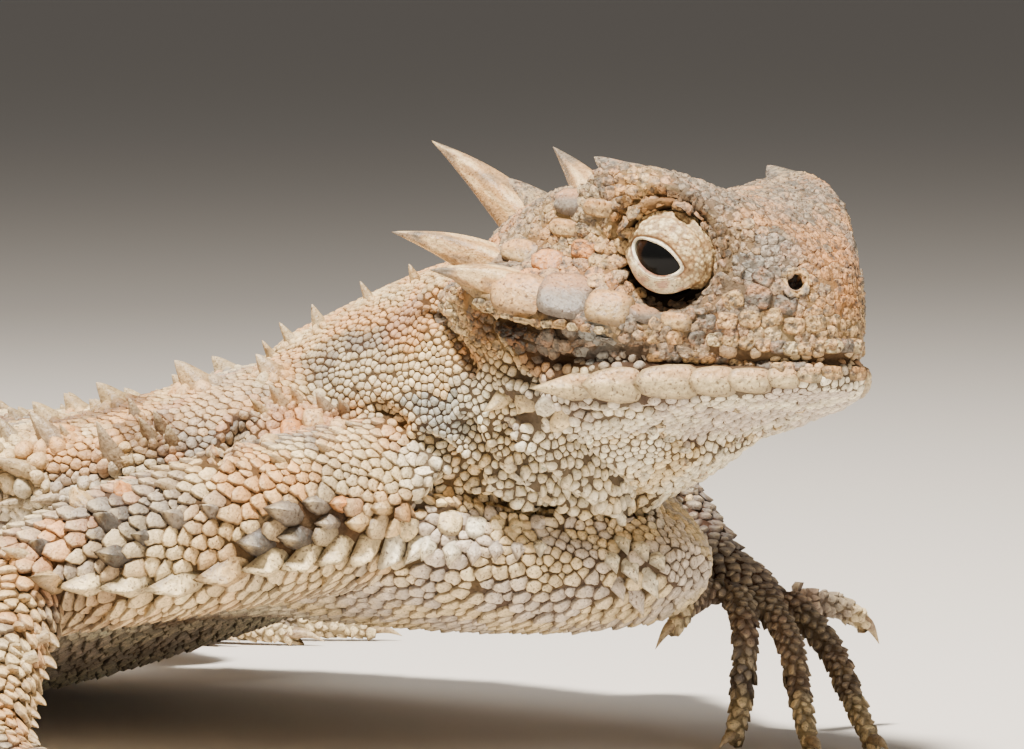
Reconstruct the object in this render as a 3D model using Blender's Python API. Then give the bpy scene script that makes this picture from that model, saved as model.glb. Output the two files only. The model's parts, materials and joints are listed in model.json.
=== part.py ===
"""Desert horned lizard, life size, standing with its chest propped on its forelegs.

Lengths below are millimetres, and the meshes are made in metres. +X is forward along the
trunk, +Y the animal's left, +Z up. The origin lies on the flat of the belly, at floor level.
"""
import itertools
import math
import random

import bmesh
import bpy
import numpy as np
from mathutils import Vector

MM = 0.001
GAP = 0.3
# Point of the floor under the belly's flat, the origin of the finished model
REST_X = -16.0
SEED = 7

# Driving sizes of the animal
EYE_RADIUS = 1.8
LID_THICKNESS = 0.5
# Opening between the lids: its three radii, its slant in degrees and how far out its middle lies
LID_SLIT = (1.6, 1.4, 0.95)
SLIT_SLANT, SLIT_OUT = 38.0, 2.5
CLAW_LENGTH = 1.7
FINGER_RADIUS = 0.62
TOE_RADIUS = 0.7

# The head sits on the neck at this point, turned a little to its right, raised and rolled
HEAD_AT = (23.6, -0.8, 15.85)
HEAD_YAW, HEAD_PITCH, HEAD_ROLL = -5.0, 4.0, -3.0

# Ridge lines of the head, at stations along its length from nape to snout: the crown, the brow
# ridge, its outer edge, the orbit, the cheek, the lip, the jaw, its underside and the throat
HEAD_X = (-0.8, 0.8, 3.0, 5.5, 8.0, 10.0, 11.6, 12.9, 14.0, 14.9, 15.5, 15.9)
HEAD_LINES = {
    "crown": ((0,) * 12, (3.9, 5.4, 6.2, 6.4, 6.5, 6.5, 6.2, 5.6, 4.9, 4.2, 3.3, 2.0)),
    "brow": ((2.6, 3.4, 4.2, 4.9, 5.3, 4.7, 4.0, 3.2, 2.4, 1.6, 1.0, 0.5),
             (4.0, 5.5, 6.3, 6.9, 7.6, 7.4, 6.7, 5.8, 4.8, 4.0, 3.1, 1.8)),
    "edge": ((3.8, 5.0, 5.6, 5.8, 6.0, 5.6, 4.9, 3.9, 2.8, 1.9, 1.2, 0.6),
             (3.2, 4.4, 5.2, 5.9, 6.5, 6.2, 5.5, 4.7, 3.9, 3.2, 2.4, 1.4)),
    "orbit": ((4.6, 6.0, 6.6, 6.6, 5.9, 5.4, 5.0, 4.2, 3.1, 2.1, 1.4, 0.7),
              (2.2, 3.4, 3.9, 3.9, 3.8, 3.6, 3.3, 2.9, 2.4, 2.0, 1.5, 0.9)),
    "cheek": ((5.6, 7.2, 8.3, 8.5, 7.9, 7.0, 5.6, 4.3, 3.1, 2.1, 1.35, 0.7),
              (1.4, 2.5, 2.7, 2.3, 1.6, 1.3, 1.2, 1.1, 1.0, 0.95, 0.8, 0.4)),
    "lip": ((5.4, 6.6, 7.2, 7.3, 7.1, 6.5, 5.3, 4.1, 3.0, 2.0, 1.3, 0.7),
            (0.0, 0.2, 0.1, -0.2, 0.1, 0.2, 0.2, 0.1, 0.0, -0.1, -0.2, -0.25)),
    "jaw": ((5.0, 6.2, 6.8, 7.2, 7.2, 6.6, 5.4, 4.3, 3.2, 2.2, 1.5, 0.8),
            (-1.2, -1.4, -1.4, -1.4, -1.6, -1.7, -1.7, -1.6, -1.5, -1.4, -1.3, -1.1)),
    "under": ((3.6, 4.6, 5.2, 5.6, 5.6, 4.9, 3.9, 3.0, 2.2, 1.5, 1.0, 0.5),
              (-2.4, -3.1, -3.3, -3.2, -2.8, -2.4, -2.15, -2.0, -1.85, -1.7, -1.6, -1.35)),
    "throat": ((0,) * 12, (-2.6, -3.8, -4.5, -4.2, -3.3, -2.7, -2.3, -2.05, -1.9, -1.8, -1.7, -1.4)),
}
MOUTH_CORNER_X = 6.4
MOUTH_Z = -0.1
# More than the head measures to any side of its middle line
HEAD_REACH = 12.0
EYE_AT = (10.6, 3.2, 3.8)
NOSTRIL_AT = (14.5, 1.7, 2.7)
NOSTRIL_RADIUS = 0.34
NOSTRIL_RING = (0.8, 0.5, 0.75)
NOSTRIL_WAY = (0.45, 0.85, 0.1)

# Horns of the head: name, root, tip (left side, in the head's own axes) and root radius
HORNS = (
    ("occipital_horn", (1.4, 2.3, 5.2), (-3.0, 3.6, 9.1), 1.05),
    ("temporal_horn", (3.0, 5.4, 3.3), (-0.9, 8.2, 5.2), 1.0),
    ("side_horn", (5.4, 6.9, 2.3), (2.6, 9.7, 3.5), 0.95),
)
# Rows of raised plates: ridge line, first and last station, count and the three radii of the rearmost
BROW_PLATES = ("edge", 9.2, 13.0, 4, (1.0, 0.5, 0.42))
LIP_PLATES = ("lip", 7.4, 15.2, 7, (0.75, 0.4, 0.36))
CHIN_PLATES = ("jaw", 7.6, 15.5, 7, (0.95, 0.6, 0.68))
# Pointed plates: root, way to the tip (left side, in the head's own axes) and root radius
HEAD_POINTS = (
    ((9.4, 4.6, 6.4), (-2.2, 1.1, 1.6), 1.0),
    ((6.6, 7.7, 2.0), (-1.0, 1.15, -0.1), 0.85),
    ((8.1, 7.4, 1.6), (-0.8, 1.1, -0.15), 0.85),
    ((9.6, 6.7, 1.4), (-0.6, 0.95, -0.15), 0.75),
    ((10.8, 6.0, 1.25), (-0.4, 0.75, -0.1), 0.6),
    ((2.6, 1.5, 5.9), (-1.3, 0.2, 1.1), 0.7),
)
JAW_POINT = ((8.0, 7.0, -1.5), (-1.8, 0.8, 0.3), 0.65)
POINT_FLATNESS = 0.6

# Trunk stations: x, half width, height of the flank fringe, of the back and of the belly
TRUNK = (
    (-31.0, 4.6, 3.7, 7.0, 0.4),
    (-27.5, 7.4, 4.4, 8.8, -0.2),
    (-23.0, 11.5, 5.4, 10.5, -0.6),
    (-17.0, 15.8, 6.8, 12.0, -0.7),
    (-9.0, 18.6, 8.4, 12.7, 0.3),
    (-1.0, 19.0, 9.8, 13.2, 2.5),
    (6.0, 18.0, 11.2, 14.3, 4.6),
    (12.0, 15.6, 12.0, 16.1, 5.2),
    (16.5, 12.4, 11.6, 17.2, 5.0),
    (20.0, 10.3, 10.4, 15.4, 4.9),
    (23.0, 8.7, 9.3, 12.3, 5.0),
    (25.8, 6.4, 8.6, 10.7, 5.2),
    (28.2, 3.9, 8.2, 9.8, 5.8),
    (30.0, 1.6, 8.0, 8.9, 7.1),
)
BACK_ROUNDNESS = 1.8
BELLY_ROUNDNESS = 2.4

NECK_SIDES = 22
# Tubes: points along the middle, each with half width and half height
NECK = ((14.0, 0.0, 12.6, 8.6, 5.2), (19.0, -0.2, 13.9, 8.2, 5.9), (24.0, -0.6, 15.2, 7.7, 6.0),
        (28.0, -1.0, 16.3, 7.2, 5.6), (31.0, -1.3, 17.0, 6.4, 4.8))
TAIL = ((-30.0, 0.0, 3.7, 4.7, 3.5), (-33.5, 0.0, 3.3, 4.2, 3.2), (-38.0, 0.5, 2.7, 3.3, 2.7),
        (-44.0, 1.6, 2.2, 2.6, 2.2), (-50.0, 3.4, 1.8, 2.1, 1.8), (-56.0, 5.8, 1.4, 1.7, 1.45),
        (-61.5, 8.6, 1.1, 1.25, 1.1), (-66.5, 11.8, 0.75, 0.8, 0.75), (-70.0, 14.6, 0.45, 0.4, 0.4))
TAIL_SPLITS = (3, 6)

# Each limb: its upper length from inside the trunk to the joint, then its lower length to the wrist
ARM = {
    "right": (((20.8, -6.0, 10.8, 3.0, 3.5), (18.6, -12.0, 10.0, 2.9, 3.3), (15.6, -17.0, 8.9, 2.6, 2.9),
               (12.9, -20.6, 7.8, 2.2, 2.3)),
              ((12.9, -20.8, 7.6, 2.0, 2.0), (14.6, -24.2, 5.4, 1.9, 1.9), (16.8, -27.2, 3.2, 1.6, 1.5),
               (18.0, -28.6, 2.2, 1.5, 1.3))),
    "left": (((20.5, 5.0, 10.4, 3.0, 3.4), (17.8, 10.6, 10.3, 2.9, 3.2), (14.8, 15.2, 10.4, 2.6, 2.7),
              (12.8, 17.8, 10.4, 2.2, 2.3)),
             ((12.8, 17.8, 10.2, 2.0, 2.0), (16.2, 15.6, 9.6, 1.9, 1.9), (20.0, 12.9, 8.5, 1.5, 1.5),
              (23.2, 10.9, 7.1, 1.3, 1.2))),
}
LEG = {
    "right": (((-23.0, -4.0, 6.0, 3.6, 3.8), (-21.0, -11.0, 6.6, 4.0, 3.9), (-17.8, -17.0, 6.6, 3.5, 3.4),
               (-15.2, -21.0, 5.9, 2.6, 2.7)),
              ((-15.2, -21.2, 5.6, 2.4, 2.4), (-19.2, -25.0, 4.4, 2.4, 2.3), (-23.2, -28.0, 2.9, 2.0, 1.8),
               (-25.2, -29.6, 2.0, 1.7, 1.4))),
    "left": (((-23.0, 4.0, 6.0, 3.6, 3.8), (-21.4, 11.0, 6.6, 4.0, 3.9), (-18.6, 17.2, 6.6, 3.5, 3.4),
              (-16.6, 21.4, 5.9, 2.6, 2.7)),
             ((-16.6, 21.6, 5.6, 2.4, 2.4), (-21.4, 24.6, 4.3, 2.4, 2.3), (-25.8, 26.8, 2.8, 2.0, 1.8),
              (-28.2, 28.0, 2.0, 1.7, 1.4))),
}
# Knuckles, then the digits, thumb first. The near hand and the feet stand on the tips named here
HAND = {
    "right": ((19.4, -30.0, 1.5),
              ((23.2, -26.4), (25.6, -28.6), (26.8, -31.6), (25.4, -34.8), (20.8, -35.2))),
    "left": ((25.6, 11.2, 5.6), (
        ((24.4, 9.0, 6.2), (24.8, 7.0, 5.7), (25.0, 5.8, 5.0), (24.7, 4.8, 4.0)),
        ((25.3, 9.6, 6.0), (26.9, 8.0, 4.5), (27.5, 6.9, 1.7), (27.7, 6.2, 0.4), (27.8, 5.0, 0.1)),
        ((25.9, 10.6, 5.8), (28.4, 9.0, 4.2), (30.4, 7.2, 1.6), (31.2, 6.6, 0.4), (32.4, 5.8, 0.1)),
        ((26.3, 11.9, 5.6), (28.9, 11.2, 3.8), (31.6, 9.4, 1.5), (32.7, 8.8, 0.4), (34.1, 8.1, 0.1)),
        ((26.0, 13.1, 5.5), (26.2, 15.6, 5.1), (26.3, 17.2, 4.4), (26.4, 18.2, 3.4)))),
}
FOOT = {
    "right": ((-22.6, -32.2, 1.5),
              ((-20.6, -29.6), (-17.0, -32.0), (-13.6, -35.0), (-12.2, -39.4), (-20.2, -39.4))),
    "left": ((-25.8, 30.8, 1.5),
             ((-22.2, 29.4), (-20.0, 31.8), (-17.2, 34.6), (-16.2, 39.2), (-24.0, 38.4))),
}

# Rows of spines: share of the way from mid back to fringe, first and last station, count, length
BACK_ROWS = (
    (0.20, -22.0, 16.0, 8, 1.5),
    (0.48, -20.0, 15.0, 8, 1.9),
    (0.76, -18.0, 11.0, 7, 1.6),
)
FRINGE_ROW = (-23.0, 15.0, 19, 2.0)
# How far each kind of spine leans off the skin's own direction
BACK_LEAN = (-0.45, 0.1, 0.0)
FRINGE_LEAN = (-0.75, 0.0, 0.1)
LIMB_LEAN = 0.9
# A spine's root and tip stay this far off the next piece of the body
ROOT_MARGIN, TIP_MARGIN = 0.9, 0.5
SPINE_SIDES = 5
# Spines of the shoulder: station, share of the way to the fringe, length
SHOULDER_SPINES = (
    (9.0, 0.5, 1.5), (10.2, 0.62, 1.7), (10.6, 0.46, 1.3), (8.4, 0.34, 1.5), (6.2, 0.62, 1.7),
)
# Rows of spines on a limb and on a third of the tail: count and greatest length
ARM_SPINES = (8, 1.5)
LEG_SPINES = (6, 1.4)
TAIL_SPINES = (5, 1.5)


def spline(knots, values, at):
    """Smooth curve through values at the knots, read at each place in at."""
    knots, values = np.asarray(knots, float), np.asarray(values, float)
    at = np.clip(np.atleast_1d(at), knots[0], knots[-1])
    slopes = np.gradient(values, knots, axis=0)
    i = np.clip(np.searchsorted(knots, at, side="right") - 1, 0, len(knots) - 2)
    step = knots[i + 1] - knots[i]
    shape = (-1,) + (1,) * (values.ndim - 1)
    t, step = ((at - knots[i]) / step).reshape(shape), step.reshape(shape)
    return ((2 * t**3 - 3 * t**2 + 1) * values[i] + (t**3 - 2 * t**2 + t) * step * slopes[i]
            + (3 * t**2 - 2 * t**3) * values[i + 1] + (t**3 - t**2) * step * slopes[i + 1])


def turn(axis, degrees):
    """Rotation matrix about one axis."""
    c, s = math.cos(math.radians(degrees)), math.sin(math.radians(degrees))
    return np.array({"x": ((1, 0, 0), (0, c, -s), (0, s, c)),
                     "y": ((c, 0, s), (0, 1, 0), (-s, 0, c)),
                     "z": ((c, -s, 0), (s, c, 0), (0, 0, 1))}[axis])


HEAD_TURN = turn("z", HEAD_YAW) @ turn("y", -HEAD_PITCH) @ turn("x", HEAD_ROLL)


def head_to_world(points):
    return np.asarray(points, float) @ HEAD_TURN.T + HEAD_AT


def clear_scene():
    for obj in list(bpy.data.objects):
        bpy.data.objects.remove(obj)


def material(name, colour, roughness):
    made = bpy.data.materials.new(name)
    made.use_nodes = True
    shader = made.node_tree.nodes["Principled BSDF"]
    shader.inputs["Base Color"].default_value = (*colour, 1.0)
    shader.inputs["Roughness"].default_value = roughness
    shader.inputs["Metallic"].default_value = 0.0
    return made


def mesh_object(name, points, faces, finish=None):
    """A mesh object from points in millimetres, its faces turned to point out."""
    mesh = bpy.data.meshes.new(name)
    placed = (np.asarray(points, float) - (REST_X, 0, 0)) * MM
    mesh.from_pydata(placed.tolist(), [], faces)
    bm = bmesh.new()
    bm.from_mesh(mesh)
    bmesh.ops.recalc_face_normals(bm, faces=bm.faces)
    bm.to_mesh(mesh)
    bm.free()
    obj = bpy.data.objects.new(name, mesh)
    bpy.context.scene.collection.objects.link(obj)
    if finish:
        mesh.materials.append(finish)
    return obj


def wall_faces(count, sides):
    """Faces between each ring of points and the next."""
    around = [(j, (j + 1) % sides) for j in range(sides)]
    return [(i * sides + j, i * sides + k, (i + 1) * sides + k, (i + 1) * sides + j)
            for i in range(count - 1) for j, k in around]


def loft(name, rings, finish=None):
    """A closed skin over a stack of equal rings, with a flat cap at each end."""
    count, sides = len(rings), len(rings[0])
    faces = wall_faces(count, sides)
    faces += [tuple(range(sides))[::-1], tuple((count - 1) * sides + j for j in range(sides))]
    return mesh_object(name, np.concatenate(rings), faces, finish)


def head_rings(grow=0.0, count=16, per_line=2):
    """Cross-sections of the whole head in its own axes, swollen by grow."""
    stations = spline(np.arange(len(HEAD_X)), HEAD_X, np.linspace(0, len(HEAD_X) - 1, count))
    side = np.array([[spline(HEAD_X, part, stations) for part in line] for line in HEAD_LINES.values()])
    rings = []
    for k, x in enumerate(stations):
        left = side[:, :, k]
        loop = np.concatenate([left, (left * (-1, 1))[-2:0:-1]])
        closed = np.concatenate([loop[-2:], loop, loop[:3]])
        at = np.arange(len(loop) * per_line) / per_line + 2
        ring = spline(np.arange(len(closed)), closed, at)
        middle = np.array([0.0, ring[:, 1].mean()])
        away = ring - middle
        ring = ring + grow * away / np.linalg.norm(away, axis=1, keepdims=True)
        end = grow * ((k == count - 1) - (k == 0))
        rings.append(np.column_stack([np.full(len(ring), x + end), ring]))
    return rings


def head_loft(name, grow=0.0, finish=None):
    return loft(name, [head_to_world(r) for r in head_rings(grow)], finish)


def trunk_sizes(x):
    table = np.array(TRUNK)
    return spline(table[:, 0], table[:, 1:], x)[0]


def trunk_point(x, share, side, grow=0.0):
    """Point of the trunk's skin: share 0 is mid back, 1 the fringe and 2 mid belly."""
    width, fringe, back, belly = trunk_sizes(x)
    angle = share * math.pi / 2
    power = 2 / (BACK_ROUNDNESS if share <= 1 else BELLY_ROUNDNESS)
    across, rise = math.sin(angle), math.cos(angle)
    reach = (back if share <= 1 else -belly) + (-fringe if share <= 1 else fringe) + grow
    y = side * (width + grow) * abs(across) ** power
    z = fringe + math.copysign(max(reach, 0) * abs(rise) ** power, rise)
    return np.array([x, y, z])


def trunk_normal(x, share, side):
    along = trunk_point(x + 0.5, share, side) - trunk_point(x - 0.5, share, side)
    around = trunk_point(x, share + 0.03, side) - trunk_point(x, share - 0.03, side)
    normal = np.cross(along, around) * side
    return normal / np.linalg.norm(normal)


def trunk_loft(name, grow=0.0, rings=22, sides=30, finish=None):
    table = np.array(TRUNK)
    stations = spline(np.arange(len(table)), table[:, 0], np.linspace(0, len(table) - 1, rings))
    stations[0] -= grow
    stations[-1] += grow
    loops = []
    for x in stations:
        shares = np.linspace(0, 4, sides, endpoint=False)
        loop = np.array([trunk_point(x, s if s <= 2 else 4 - s, 1 if s <= 2 else -1, grow) for s in shares])
        loop[:, 0] = x
        if not grow:
            loop[:, 2] = np.maximum(loop[:, 2], 0.0)
        loops.append(loop)
    return loft(name, loops, finish)


def tube_frames(line):
    """Middle points, forward directions and sideways directions along a tube's line."""
    line = np.asarray(line, float)
    forward = np.gradient(line[:, :3], axis=0)
    forward /= np.linalg.norm(forward, axis=1, keepdims=True)
    sideways = np.cross(forward, (0, 0, 1))
    sideways /= np.linalg.norm(sideways, axis=1, keepdims=True)
    return line, forward, sideways


def tube_rings(line, sides, grow=0.0, domed=False):
    """Cross-sections along a tube. A domed tube ends in a half ball beyond its last point."""
    line, forward, sideways = tube_frames(line)
    upward = np.cross(sideways, forward)
    angles = np.arange(sides) * 2 * math.pi / sides + math.pi / sides
    rings = []
    for k, (point, side, up) in enumerate(zip(line, sideways, upward)):
        wide, high = point[3] + grow, point[4] + grow
        sizes = ((0.0, 1.0),)
        if domed and k == len(line) - 1:
            sizes = ((0.0, 1.0), (0.55, 0.84), (0.94, 0.34))
        for ahead, size in sizes:
            middle = point[:3] + forward[k] * ahead * high
            ring = middle + np.outer(np.cos(angles) * wide * size, side)
            ring += np.outer(np.sin(angles) * high * size, up)
            if not grow:
                ring[:, 2] = np.maximum(ring[:, 2], 0.0)
            rings.append(ring)
    return rings


def finer(line, parts):
    """The same line with more points, on a smooth curve."""
    line = np.asarray(line, float)
    return spline(np.arange(len(line)), line, np.linspace(0, len(line) - 1, (len(line) - 1) * parts + 1))


def shorten(rings, direction_first, direction_last, first, last):
    """Moves the end rings inwards by half a gap where a neighbour meets them."""
    rings = [r.copy() for r in rings]
    if first:
        rings[0] += direction_first * GAP / 2
    if last:
        rings[-1] -= direction_last * GAP / 2
    return rings


def tube_piece(name, line, start, stop, sides, first, last, finish=None, grow=0.0):
    """One length of a tube, parted from its neighbours by half a gap at each shared end."""
    _, forward, _ = tube_frames(line)
    rings = tube_rings(line, sides, grow)[start:stop + 1]
    rings = shorten(rings, forward[start], forward[stop], first, last)
    return loft(name, rings, finish)


def cone(name, root, tip, radius, sides=SPINE_SIDES, sink=0.6, flat=1.0, bend=None, steps=1):
    """A tapering spine from a point a little under the skin to its tip."""
    root, tip = np.asarray(root, float), np.asarray(tip, float)
    axis = tip - root
    length = np.linalg.norm(axis)
    axis /= length
    hint = np.array((0, 0, 1.0)) if abs(axis[2]) < 0.9 else np.array((1.0, 0, 0))
    side = np.cross(axis, hint)
    side /= np.linalg.norm(side)
    up = np.cross(side, axis)
    angles = np.arange(sides) * 2 * math.pi / sides
    points = []
    levels = [-sink] + [length * k / steps for k in range(steps)]
    for level in levels:
        share = max(level, 0) / length
        width = radius * (1 - share) * (1 + 0.25 * math.sin(math.pi * share))
        curve = np.zeros(3) if bend is None else np.asarray(bend) * math.sin(math.pi * share)
        ring = np.outer(np.cos(angles), side) + np.outer(np.sin(angles), up) * flat
        points += list(root + axis * level + curve + width * ring)
    count = len(levels)
    faces = wall_faces(count, sides)
    top = len(points)
    points.append(tip)
    faces += [((count - 1) * sides + j, (count - 1) * sides + (j + 1) % sides, top) for j in range(sides)]
    faces.append(tuple(range(sides))[::-1])
    return mesh_object(name, points, faces)


def ball(name, centre, radii, turned=None, rings=6, sides=10, finish=None):
    """An ellipsoid, given its three radii and a rotation matrix."""
    points, faces = [(0, 0, radii[2])], []
    for i in range(1, rings):
        a = math.pi * i / rings
        for j in range(sides):
            b = 2 * math.pi * j / sides
            points.append((radii[0] * math.sin(a) * math.cos(b), radii[1] * math.sin(a) * math.sin(b),
                           radii[2] * math.cos(a)))
    points.append((0, 0, -radii[2]))
    last = len(points) - 1
    for j in range(sides):
        n = (j + 1) % sides
        faces += [(0, 1 + j, 1 + n), (last, last - sides + n, last - sides + j)]
        faces += [(1 + i * sides + j, 1 + (i + 1) * sides + j, 1 + (i + 1) * sides + n, 1 + i * sides + n)
                  for i in range(rings - 2)]
    points = np.array(points) @ (np.eye(3) if turned is None else turned).T + np.asarray(centre)
    return mesh_object(name, points, faces, finish)


def keep_largest(obj):
    """Drops every closed surface of the mesh but the one with the most volume."""
    bm = bmesh.new()
    bm.from_mesh(obj.data)
    bmesh.ops.dissolve_degenerate(bm, dist=1e-7, edges=bm.edges)
    left, groups = set(bm.verts), []
    while left:
        stack, group = [left.pop()], set()
        while stack:
            vert = stack.pop()
            group.add(vert)
            near = {e.other_vert(vert) for e in vert.link_edges} & left
            left -= near
            stack.extend(near)
        groups.append(group)
    def span(group):
        points = np.array([v.co for v in group])
        return np.prod(points.max(0) - points.min(0) + 1e-6)
    groups.sort(key=span, reverse=True)
    for group in groups[1:]:
        bmesh.ops.delete(bm, geom=list(group), context="VERTS")
    bmesh.ops.triangulate(bm, faces=bm.faces)
    bm.to_mesh(obj.data)
    bm.free()


def boolean(target, operation, others, solver="EXACT"):
    """Applies one Boolean of a collection to the target and removes the collection's objects."""
    group = bpy.data.collections.new("operands")
    bpy.context.scene.collection.children.link(group)
    for other in others:
        bpy.context.scene.collection.objects.unlink(other)
        group.objects.link(other)
    modifier = target.modifiers.new("boolean", "BOOLEAN")
    modifier.operation = operation
    modifier.operand_type = "COLLECTION"
    modifier.collection = group
    modifier.solver = solver
    graph = bpy.context.evaluated_depsgraph_get()
    made = bpy.data.meshes.new_from_object(target.evaluated_get(graph))
    target.modifiers.clear()
    finish = list(target.data.materials)
    target.data = made
    target.data.materials.clear()
    for slot in finish:
        target.data.materials.append(slot)
    for other in others:
        bpy.data.objects.remove(other)
    bpy.data.collections.remove(group)
    keep_largest(target)
    return target


def block(name, low, high, to_world):
    """A box between two corners, carried to its place by to_world."""
    corners = np.array(list(itertools.product(*zip(low, high))))
    faces = [(0, 1, 3, 2), (4, 6, 7, 5), (0, 4, 5, 1), (2, 3, 7, 6), (0, 2, 6, 4), (1, 5, 7, 3)]
    return mesh_object(name, to_world(corners), faces)


def jaw_block(name, behind, above):
    """The room of the lower jaw: all that lies below the mouth and ahead of its corner."""
    low = (MOUTH_CORNER_X - behind, -HEAD_REACH, -HEAD_REACH)
    high = (2 * HEAD_REACH, HEAD_REACH, MOUTH_Z + above)
    return block(name, low, high, head_to_world)


def mirrored(point, side):
    return np.array((point[0], side * point[1], point[2]), float)


def eye_centre(side):
    return head_to_world(mirrored(EYE_AT, side))


def ridge_point(line, x, side):
    """Point on one of the head's ridge lines."""
    across, height = (spline(HEAD_X, part, x)[0] for part in HEAD_LINES[line])
    return np.array((x, side * across, height))


def plate_row(line, first, last, count, radii, side):
    """Raised, overlapping plates along a ridge line, larger towards the nape."""
    plates = []
    stations = np.linspace(first, last, count)
    for k, x in enumerate(stations):
        ahead = ridge_point(line, x + 0.4, side) - ridge_point(line, x - 0.4, side)
        yaw = math.degrees(math.atan2(ahead[1], ahead[0]))
        pitch = math.degrees(math.atan2(ahead[2], math.hypot(ahead[0], ahead[1])))
        size = 1.0 - 0.4 * k / (count - 1)
        centre = ridge_point(line, x, side) - np.array((0, side * 0.15, 0))
        plates.append(ball("plate", head_to_world(centre), np.array(radii) * size,
                           HEAD_TURN @ turn("z", yaw) @ turn("y", -pitch), rings=4, sides=7))
    return plates


def pointed_plate(root, way, radius, side):
    """A flattened spine of the head, its root sunk in the skin."""
    root, way = mirrored(root, side), mirrored(way, side)
    return cone("point", head_to_world(root), head_to_world(root + way), radius, 6, flat=POINT_FLATNESS)


def make_head(skin):
    head = head_loft("head", finish=skin)
    added = []
    for side in (1, -1):
        lid = EYE_RADIUS + GAP + LID_THICKNESS
        added.append(ball("lid", eye_centre(side), (lid, lid - 0.1, lid), HEAD_TURN, rings=7, sides=13))
        nostril = head_to_world(mirrored(NOSTRIL_AT, side))
        added.append(ball("nostril_ring", nostril, NOSTRIL_RING, HEAD_TURN, rings=4, sides=8))
        added += plate_row(*BROW_PLATES, side) + plate_row(*LIP_PLATES, side)
        added += [pointed_plate(*point, side) for point in HEAD_POINTS]
    boolean(head, "UNION", added)
    cuts = []
    for side in (1, -1):
        cuts.append(ball("socket", eye_centre(side), (EYE_RADIUS + GAP,) * 3, HEAD_TURN, rings=8, sides=14))
        slit = head_to_world(mirrored(EYE_AT, side) + np.array((0.1, side * SLIT_OUT, -0.1)))
        cuts.append(ball("slit", slit, LID_SLIT, HEAD_TURN @ turn("y", SLIT_SLANT), rings=7, sides=12))
        outward = mirrored(NOSTRIL_WAY, side)
        nostril = mirrored(NOSTRIL_AT, side)
        cuts.append(cone("nostril", head_to_world(nostril + outward), head_to_world(nostril - outward),
                         NOSTRIL_RADIUS * 2, sides=8))
    cuts.append(jaw_block("jaw_room", GAP, GAP / 2))
    boolean(head, "DIFFERENCE", cuts)
    return head


def make_jaw(skin):
    jaw = head_loft("lower_jaw", finish=skin)
    plates = []
    for side in (1, -1):
        plates += plate_row(*CHIN_PLATES, side)
        plates.append(pointed_plate(*JAW_POINT, side))
    boolean(jaw, "UNION", plates)
    boolean(jaw, "INTERSECT", [jaw_block("keep", 0.0, -GAP / 2)])
    return jaw


def make_eyes(finish):
    radii = (EYE_RADIUS,) * 3
    return [ball(f"eye_{name}", eye_centre(side), radii, HEAD_TURN, rings=7, sides=12, finish=finish)
            for side, name in ((1, "left"), (-1, "right"))]


def neck_room():
    """The neck's whole tube, swollen by the gap that its neighbours keep."""
    return loft("room", tube_rings(finer(NECK, 2), NECK_SIDES, GAP))


def make_horns(finish):
    """The horns, each with its root cut to the swell of the head."""
    made = []
    for name, root, tip, radius in HORNS:
        for side, side_name in ((1, "left"), (-1, "right")):
            ends = [head_to_world(mirrored(point, side)) for point in (root, tip)]
            horn = cone(f"{name}_{side_name}", *ends, radius, sides=9, sink=0.4, steps=3)
            horn.data.materials.append(finish)
            boolean(horn, "DIFFERENCE", [head_loft("room", GAP)])
            boolean(horn, "DIFFERENCE", [neck_room()])
            made.append(horn)
    return made


def clear_of(tubes, point, margin):
    """Whether a point lies outside each tube by a margin."""
    for tube in tubes:
        line, forward, sideways = tube_frames(finer(tube, 4))
        away = point - line[:, :3]
        along = np.abs((away * forward).sum(axis=1))
        across = (away * sideways).sum(axis=1) / (line[:, 3] + margin)
        above = (away * np.cross(sideways, forward)).sum(axis=1) / (line[:, 4] + margin)
        if ((along < 1 + margin) & (np.hypot(across, above) < 1)).any():
            return False
    return True


def back_spines(rng):
    """Spines in rows along the back and on the shoulder, and the fringe along each flank."""
    places = [(x + rng.uniform(-1, 1), share, side, length * rng.uniform(0.8, 1.15))
              for side in (1, -1) for share, first, last, count, length in BACK_ROWS
              for x in np.linspace(first, last, count)]
    places += [(x, share, side, length) for side in (1, -1) for x, share, length in SHOULDER_SPINES]
    tubes = (NECK, TAIL, *(limb[0] for limb in (*ARM.values(), *LEG.values())))
    spines = []
    for x, share, side, long in places:
        root = trunk_point(x, share, side)
        lie = trunk_normal(x, share, side) + mirrored(BACK_LEAN, side)
        tip = root + lie / np.linalg.norm(lie) * long
        if clear_of(tubes, root, ROOT_MARGIN) and clear_of(tubes, tip, TIP_MARGIN):
            spines.append(cone("spine", root, tip, 0.34 * long + 0.15))
    for side in (1, -1):
        first, last, count, length = FRINGE_ROW
        for x in np.linspace(first, last, count):
            long = length * rng.uniform(0.85, 1.1)
            root = trunk_point(x, 0.97, side)
            lie = trunk_normal(x, 0.9, side) + np.array(FRINGE_LEAN)
            tip = root + lie / np.linalg.norm(lie) * long
            if clear_of(tubes, root, ROOT_MARGIN) and clear_of(tubes, tip, TIP_MARGIN):
                spines.append(cone("fringe", root, tip, 0.42 * long, flat=0.55))
    return spines


def make_torso(skin, rng):
    torso = trunk_loft("torso", finish=skin)
    boolean(torso, "UNION", back_spines(rng))
    return torso


def make_neck(skin):
    line = finer(NECK, 2)
    neck = tube_piece("neck", line, 0, len(line) - 1, NECK_SIDES, False, False, skin)
    boolean(neck, "DIFFERENCE", [trunk_loft("room", GAP)])
    return boolean(neck, "DIFFERENCE", [head_loft("room", GAP)])


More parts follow.
